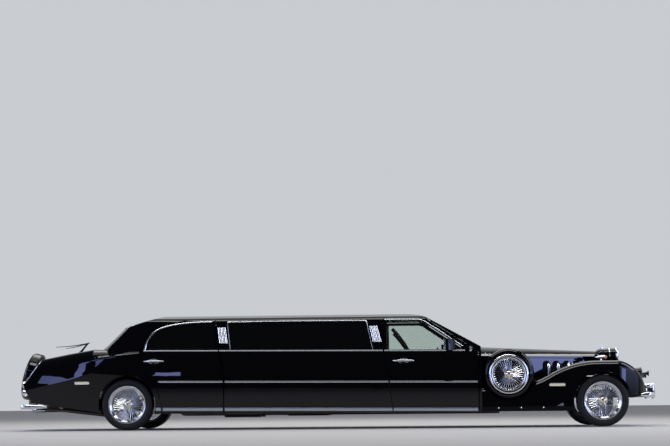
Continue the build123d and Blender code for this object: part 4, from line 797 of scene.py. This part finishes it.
def padded_block(half, corner, crown=0.0, pleats=(), cells=(24, 24, 12)):
    """A rounded block with crowned faces; pleats are grooves across its top at these places."""
    points, faces = [], []
    for axis in range(3):
        u, v = [k for k in range(3) if k != axis]
        for sign in (-1, 1):
            start = len(points)
            for i in range(cells[u] + 1):
                for j in range(cells[v] + 1):
                    spot = [0.0, 0.0, 0.0]
                    spot[axis] = sign * half[axis]
                    spot[u] = half[u] * (2 * i / cells[u] - 1)
                    spot[v] = half[v] * (2 * j / cells[v] - 1)
                    core = Vector([max(corner - h, min(h - corner, c)) for c, h in zip(spot, half)])
                    away = Vector(spot) - core
                    place = core + away.normalized() * corner if away.length > 0 else core
                    shares = [place[k] / half[k] for k in range(3)]
                    for k in range(3):
                        others = [shares[m] for m in range(3) if m != k]
                        lift = (1 - others[0] ** 2) * (1 - others[1] ** 2) * shares[k] ** 3
                        place[k] += crown * max(-1.0, min(1.0, lift))
                    if shares[2] > 0.4:
                        groove = sum(0.007 * 2.718 ** -(((place.y - at) / 0.006) ** 2) for at in pleats)
                        edge = max(0.0, 1 - abs(shares[0]) ** 8)
                        place.z -= groove * edge
                    points.append(tuple(place))
            for i in range(cells[u]):
                for j in range(cells[v]):
                    a = start + i * (cells[v] + 1) + j
                    faces.append((a, a + 1, a + cells[v] + 2, a + cells[v] + 1))
    return points, faces


overrider = padded_block((0.022, 0.024, 0.1), 0.02, 0.006, (), (6, 6, 14))
front_blades = [
    bumper_blade(4.228, 4.115, 0.85, 3.985, 0.401, 0.064, 0.45),
    bumper_blade(4.216, 4.165, 0.59, 4.085, 0.519, 0.052, 0.45),
    *[moved(overrider, Matrix.Translation((4.219, y, 0.455))) for y in (-0.33, 0.33)],
]
rear_blade = bumper_blade(-4.086, -4.056, 0.85, -3.715, 0.313, 0.058, 0.5)
front_irons = [slab(4.0, 4.212, y - 0.022, y + 0.022, 0.386, 0.416) for y in (-0.43, 0.43)]
front_irons += [slab(4.15, 4.206, y - 0.014, y + 0.014, 0.38, 0.535) for y in (-0.33, 0.33)]
rear_irons = [slab(-4.08, -3.64, y - 0.022, y + 0.022, 0.296, 0.322) for y in (-0.43, 0.43)]
for end, name, parts, finish, slot, crease in (
    ("front", "blades", front_blades, chrome_plate, "chrome", 40),
    ("front", "irons", front_irons, chassis_enamel, "chassis_black", 32),
    ("rear", "blade", [rear_blade], chrome_plate, "chrome", 40),
    ("rear", "irons", rear_irons, chassis_enamel, "chassis_black", 32),
):
    piece = new_piece(end + "_bumper_" + name, *joined(*parts), finish, "body", slot, crease)
    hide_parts(end + "_bumper")

# Number plates: blank pressed aluminium, painted white, on the front blade and the rear one.
# Each is a sheet 520 by 110 mm, screwed to the blade behind it.
plate_paint = new_finish("white_plate_paint", "#e8e8e4", {"Roughness": 0.3}, rough=(50, 0.25, 0.4))
plate = padded_block((0.0012, 0.26, 0.055), 0.0011, 0.0, (), (1, 12, 6))
for name, x, z in (("front_plate", 4.236, 0.455), ("rear_plate", -4.106, 0.345)):
    new_piece(name, *moved(plate, Matrix.Translation((x, 0, z))), plate_paint)

# Skirt and bonnet studs, skirt ends and exhaust tips: turned or pressed steel, chromed.
# The tips are rolled tube clamped on the pipes; the wedge closes the end of the wing's skirt.
stud = turned([(0.0, 0.006), (0.005, 0.0054), (0.008, 0.003), (0.009, -0.002), (0.0, -0.002)], 20)
for name, node, body, places in (
    ("skirt_stud", "front_wing_left", "body", ((2.161, 0.249), (2.449, 0.249), (2.731, 0.249))),
    ("bonnet_stud", "bonnet", "bonnet", ((2.016, 0.96), (2.062, 0.948))),
):
    studs = [moved(stud, Matrix.Translation((x, skin_y(node, x, z), z))) for x, z in places]
    both_sides(name, joined(*studs), chrome_plate, body)
skirt_y = skin_y("front_wing_left", 2.95, 0.29)
wedge = [(2.905, 0.27), (2.988, 0.27), (2.988, 0.31), (2.96, 0.304)]
skirt_end = lofted([[(x, skirt_y + out, z) for x, z in wedge] for out in (-0.004, 0.006)])
both_sides("skirt_end", skirt_end, chrome_plate)
lamp_part("exhaust_tip", (-3.868, 0.3, 0.269), [
    (0.0322, 0.0), (0.034, 0.004), (0.0335, 0.172), (0.0305, 0.173), (0.0303, 0.0),
], 32, chrome_plate, turn=pi / 2)

# Edge highlights: half-round bright aluminium strips along the sail's rear edge and the tail's corner.
# They are painted highlight: they stand in for the sky's highlight on the rounded painted edges there, and
# each is swept along the panel's edge.
def rear_x(y, z):
    """Where the tail's skin lies at a distance from the centre plane and a height."""
    found = []
    for node in ("quarter_left", "rear_panel", "roof_and_pillars"):
        hit, place, _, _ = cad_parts[node].ray_cast(Vector((-5, y, z)), Vector((1, 0, 0)))
        found += [place.x] if hit else []
    return min(found)


sail, tail = [], []
for z in spread(1.07, 1.37, 10):
    sail.append((rear_x(house_y(z) - 0.012, z), house_y(z) - 0.012, z))
for z in spread(0.64, 0.915, 16):
    x = rear_x(0.5, z)
    tail.append((x, skin_y("quarter_left", x + 0.014, z) - 0.003, z + 0.003))
# Painted highlight: bright strips in place of the sky's reflection along the painted edges
for name, path, size in (("sail_edge_highlight", sail, (0.016, 0.005)), ("tail_edge_highlight", tail, (0.013, 0.005))):
    form = swept(path, [(-1, 0.6, 0.3)] * len(path), bead(*size))
    both_sides(name, form, bright_strip)

# Television antenna on the boot lid: a raked post with two thin swept blades.
# They are moulded black plastic over metal rods; the post is screwed down through the lid.
antenna_shell = new_finish("moulded_black_abs", "#08080a", {"Roughness": 0.3}, grain=(3, 0.02))


# centre, height and length of the post's stations
POST = [
    (-3.495, 1.03, 0.062), (-3.47, 1.048, 0.05), (-3.44, 1.08, 0.038), (-3.412, 1.115, 0.032),
    (-3.385, 1.15, 0.034), (-3.372, 1.166, 0.036),
]
antenna_parts = [lofted([oval_loop((x, 0, z), (long / 2, 0, 0), (0, 0.011, 0), 16) for x, z, long in POST])]
for sign in (-1, 1):
    rings = []
    for share in spread(0, 1, 8):
        z = 1.176 - 0.062 * share - 0.01 * sin(pi * share)
        place = (-3.345 - 0.39 * share, sign * 0.3 * share ** 1.15, z)
        wide, high = (0, 0.02 - 0.012 * share, 0), (0, 0, 0.008 - 0.0045 * share)
        rings.append(oval_loop(place, wide, high, 12))
    antenna_parts.append(lofted(rings))
aerial = new_piece(
    "television_antenna", *joined(*antenna_parts), antenna_shell, "boot_lid", "black_paint", 50
)
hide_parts("antenna")

# Wipers: painted steel arms and rubber blades, parked along the foot of the windscreen.
# Each arm is pressed steel, pushed on to a splined spindle that comes up through the cowl.
def screen_place(share, y, lift=0.0):
    """A place on the windscreen, by its share from foot to top and its distance from the middle."""
    foot, top = Vector((1.873, y, 1.074)), Vector((1.233, y, 1.434))
    rise = (top - foot).normalized()
    return foot.lerp(top, share) + Vector((rise.z, 0, -rise.x)) * lift


wipers = []
for y_pivot, y_tip in ((0.62, 0.06), (0.02, -0.56)):
    pivot, knee = screen_place(0.0, y_pivot, 0.026), screen_place(0.09, y_tip + 0.2, 0.024)
    start, end = screen_place(0.06, y_tip + 0.42, 0.014), screen_place(0.13, y_tip, 0.014)
    wipers += [tube(pivot, knee, 0.0065, 0.0045, 8), tube(start, end, 0.005, 0.005, 8)]
    spindle = screen_place(-0.02, y_pivot, -0.004), screen_place(-0.01, y_pivot, 0.032)
    wipers.append(tube(*spindle, 0.014, 0.01, 14))
new_piece("wipers", *joined(*wipers), chassis_enamel, slot="chassis_black")

# Cabin: foam cushions in black leather over steel frames, carpet, leathered door cards.
# The leather is grained, stitched and pleated; the carpet is a cut wool pile, glued down.
# Real grain is 0.8 mm; drawn at 1.6 mm so that it shows
seat_leather = new_finish(
    "grained_black_leather", "#141416", {"Roughness": 0.42}, rough=(70, 0.36, 0.5), grain=(1.6, 0.15)
)


def seat_part(name, form, place, lean):
    """A stuffed part of a seat, leaned back by some degrees and put in its place."""
    part = moved(form, Matrix.Translation(place) @ Matrix.Rotation(radians(lean), 4, "Y"))
    piece = new_piece(name, *part, seat_leather, "body", "cabin_leather", 60)
    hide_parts("seats")


PLEATS = [-0.14, -0.07, 0.0, 0.07, 0.14]
LONG_PLEATS = [-0.5 + 0.1 * i for i in range(11)]
UPRIGHT = Matrix.Rotation(pi, 4, "Z") @ Matrix.Rotation(radians(-90), 4, "Y")
CUSHION_LEAN, BACK_LEAN = -3, -13
cushion = padded_block((0.265, 0.265, 0.1), 0.055, 0.02, PLEATS, (24, 90, 10))
backrest = moved(padded_block((0.3, 0.255, 0.06), 0.05, 0.018, PLEATS, (26, 90, 8)), UPRIGHT)
restraint = padded_block((0.045, 0.125, 0.075), 0.04, 0.012, (), (8, 18, 12))
bolster = padded_block((0.235, 0.038, 0.06), 0.036, 0.008, (), (18, 8, 10))
for side, y in (("left", 0.41), ("right", -0.41)):
    seat_part("front_cushion_" + side, cushion, (0.885, y, 0.462), CUSHION_LEAN)
    seat_part("front_backrest_" + side, backrest, (0.61, y, 0.83), BACK_LEAN)
    seat_part("head_restraint_" + side, restraint, (0.512, y, 1.215), BACK_LEAN)
    for number, across in ((1, -0.225), (2, 0.225)):
        seat_part("side_bolster_%s_%d" % (side, number), bolster, (0.9, y + across, 0.5), CUSHION_LEAN)
cushion = padded_block((0.245, 0.615, 0.078), 0.05, 0.018, LONG_PLEATS, (20, 180, 8))
seat_part("lounge_cushion", cushion, (-2.425, 0, 0.65), CUSHION_LEAN)
backrest = moved(padded_block((0.2, 0.615, 0.055), 0.048, 0.016, LONG_PLEATS, (18, 180, 8)), UPRIGHT)
seat_part("lounge_backrest", backrest, (-2.735, 0, 0.9), BACK_LEAN)

grained_plastic = new_finish("grained_black_plastic", "#0d0d0f", {"Roughness": 0.5}, grain=(1.5, 0.1))
dress(grained_plastic, "dashboard")
dress(seat_leather, "steering_wheel", "seats")
cut_pile = new_finish(
    "cut_pile_carpet", "#131317", {"Roughness": 0.95, "Sheen Weight": 0.3}, grain=(2, 0.8)
)
carpet = slab(-2.09, 1.84, -0.8, 0.8, 0.3505, 0.358)
new_piece("cabin_carpet", *carpet, cut_pile, slot="cabin_leather")


def door_card(x_rear, x_front):
    """A door's inner panel, following the door's inner skin, with a padded arm rest."""
    rings = []
    for z in spread(0.3, 0.94, 10):
        outer, inner = side_y(x_front, z) - 0.1075, side_y(x_front, z) - 0.116
        outer_rear, inner_rear = side_y(x_rear, z) - 0.1075, side_y(x_rear, z) - 0.116
        rings.append([
            (x_rear, outer_rear, z), (x_front, outer, z), (x_front, inner, z), (x_rear, inner_rear, z)
        ])
    x = (x_rear + x_front) / 2
    arm = moved(padded_block((0.21, 0.03, 0.034), 0.028, 0.004, (), (16, 6, 6)),
                Matrix.Translation((x, side_y(x, 0.66) - 0.142, 0.66)))
    return joined(lofted(rings), arm)


for row, x_rear, x_front in (("front", 0.85, 1.86), ("rear", -2.1, -1.44)):
    both_sides(
        row + "_door_card", door_card(x_rear, x_front), seat_leather, row + "_door_", "cabin_leather", 60
    )

# Belts: 48 mm webbing from the pillar over the shoulder to the buckle, with no slack
belt_webbing = new_finish(
    "woven_belt_webbing", "#1b1b1e", {"Roughness": 0.7}, grain=(1.5, 0.3), stretch=(1, 1, 6), detail=2.0
)
STRAP = [
    (0.8, 0.705, 1.29), (0.86, 0.695, 1.225), (0.96, 0.67, 1.09), (1.01, 0.64, 1.0),
    (0.9, 0.66, 0.56),
]
flat = [(-0.001, -0.024), (0.001, -0.024), (0.001, 0.024), (-0.001, 0.024)]
strap = swept(STRAP, [(0.3, 1, 0.2)] * len(STRAP), flat)
both_sides("seat_belt", strap, belt_webbing, slot="cabin_leather")

# Floor, light and camera.
# A plain pale studio floor under soft boxes and a wide soft sky; the camera stands low.
CAMERA_AT = (1.103, -21.573, 0.336)
YAW, PITCH, ROLL = radians(2.848), radians(6.449), radians(-0.516)
LENS_MM = 36 * 1589.7 / 670

floor_paint = new_finish(
    "pale_studio_floor", "#a3a19d", {"Roughness": 0.9}, shades=(700, "#9f9d99", "#a7a5a1")
)
bpy.ops.mesh.primitive_plane_add(size=160, location=(0, 0, -0.0005))
ground = bpy.context.object
ground.name = "studio_floor"
ground.data.materials.append(floor_paint)

world = bpy.data.worlds.new("soft_studio")
bpy.context.scene.world = world
world.use_nodes = True
tree = world.node_tree
tree.nodes.clear()
# Dark overhead, pale behind the car, and a bluish open sky low down beyond either end of it
way = add_node(
    tree, "ShaderNodeSeparateXYZ", links={0: add_node(tree, "ShaderNodeTexCoord").outputs["Generated"]}
)
sideways = add_node(tree, "ShaderNodeMath", {"operation": "ABSOLUTE"}, {0: way.outputs[0]})
REACH = {"sideways": sideways.outputs[0], "back": way.outputs[1], "up": way.outputs[2]}
# each colour laid over the dark, and the directions between which its share eases from 0 to 1
PALE = linear_colour("#c9ccd0"), (("back", -0.05, 0.35), ("up", 0.62, 0.34))
OPEN_SKY = [1.25, 1.45, 2.3, 1.0], (
    ("sideways", 0.27, 0.42), ("back", 0.1, -0.1), ("up", 0.5, 0.26), ("up", -0.01, 0.03),
)
shade = None
for colour, edges in (PALE, OPEN_SKY):
    share = None
    for reach, start, end in edges:
        eased = add_node(
            tree, "ShaderNodeMapRange",
            {"interpolation_type": "SMOOTHSTEP", "From Min": start, "From Max": end},
            {"Value": REACH[reach]},
        ).outputs[0]
        if share:
            eased = add_node(
                tree, "ShaderNodeMath", {"operation": "MULTIPLY"}, {0: share, 1: eased}
            ).outputs[0]
        share = eased
    laid = {"data_type": "RGBA", 6: linear_colour("#3a3c41"), 7: colour}
    shade = add_node(
        tree, "ShaderNodeMix", laid, {0: share, 6: shade} if shade else {0: share}
    ).outputs[2]
sky = add_node(tree, "ShaderNodeBackground", {"Strength": 1.0}, {"Color": shade})
add_node(tree, "ShaderNodeOutputWorld", links={"Surface": sky.outputs[0]})


def soft_light(name, place, aim, size, watts, colour="#ffffff", fan=180, roll=0):
    """A soft box that looks at a point; fan is how wide it shines, roll its own turn, in degrees."""
    lamp = bpy.data.lights.new(name, "AREA")
    lamp.color = linear_colour(colour)[:3]
    lamp.shape = "RECTANGLE"
    lamp.size, lamp.size_y = size
    lamp.energy, lamp.spread = watts, radians(fan)
    light = bpy.data.objects.new(name, lamp)
    light.location = place
    light.visible_camera = False
    aimed = (Vector(aim) - Vector(place)).to_track_quat("-Z", "Y").to_matrix()
    light.rotation_euler = (aimed @ Matrix.Rotation(radians(roll), 3, "Z")).to_euler()
    bpy.context.scene.collection.objects.link(light)


soft_light("key_over", (0, -5.0, 11.5), (0, 0, 0.6), (14, 2.6), 850)
soft_light("back_over", (0, 6.5, 10), (0, 0, 0), (14, 6), 900)
soft_light("low_front_sky", (8.52, -8.76, 1.05), (3.0, -0.43, 0.81), (2.3, 0.8), 5.2, "#a3b2ff", 60)
soft_light("front_sky", (10.3, -1.0, 6.6), (3.9, -0.7, 0.78), (4, 6.5), 520, "#dfe6ff")
soft_light("rear_sky", (-12.0, -2.4, 5.6), (-3.6, -0.6, 0.8), (4, 5), 420, "#dfe6ff")
soft_light("gap_sky", (-3.96, -12.7, 2.46), (-2.1, -0.96, 0.75), (0.55, 0.45), 0.68, "#a3b2ff", 60)
soft_light("tail_sky", (-4.6, -2.97, 2.46), (-3.4, -0.92, 0.75), (2.0, 0.1), 0.5, "#a3b2ff", 60, -11.5)
soft_light("crest_sky", (-6.84, -7.23, 7.82), (-3.7, -0.9, 0.75), (1.9, 0.25), 1.5, "#a3b2ff", 60, 20)
high_sky = bpy.data.lights.new("high_sky", "SUN")
high_sky.energy, high_sky.angle = 0.8, radians(50)
high_lamp = bpy.data.objects.new("high_sky", high_sky)
high_lamp.rotation_euler = (radians(-15), 0, 0)
bpy.context.scene.collection.objects.link(high_lamp)

forward = Vector((-sin(YAW) * cos(PITCH), cos(YAW) * cos(PITCH), sin(PITCH)))
level = Vector((cos(YAW), sin(YAW), 0))
upward = level.cross(forward)
right = cos(ROLL) * level + sin(ROLL) * upward
above = cos(ROLL) * upward - sin(ROLL) * level
lens = bpy.data.cameras.new("camera")
lens.lens = LENS_MM
lens.sensor_width = 36
lens.clip_end = 300
camera = bpy.data.objects.new("camera", lens)
turn = Matrix((right, above, -forward)).transposed().to_4x4()
camera.matrix_world = Matrix.Translation(CAMERA_AT) @ turn
bpy.context.scene.collection.objects.link(camera)
bpy.context.scene.camera = camera
bpy.context.scene.view_settings.view_transform = "Standard"
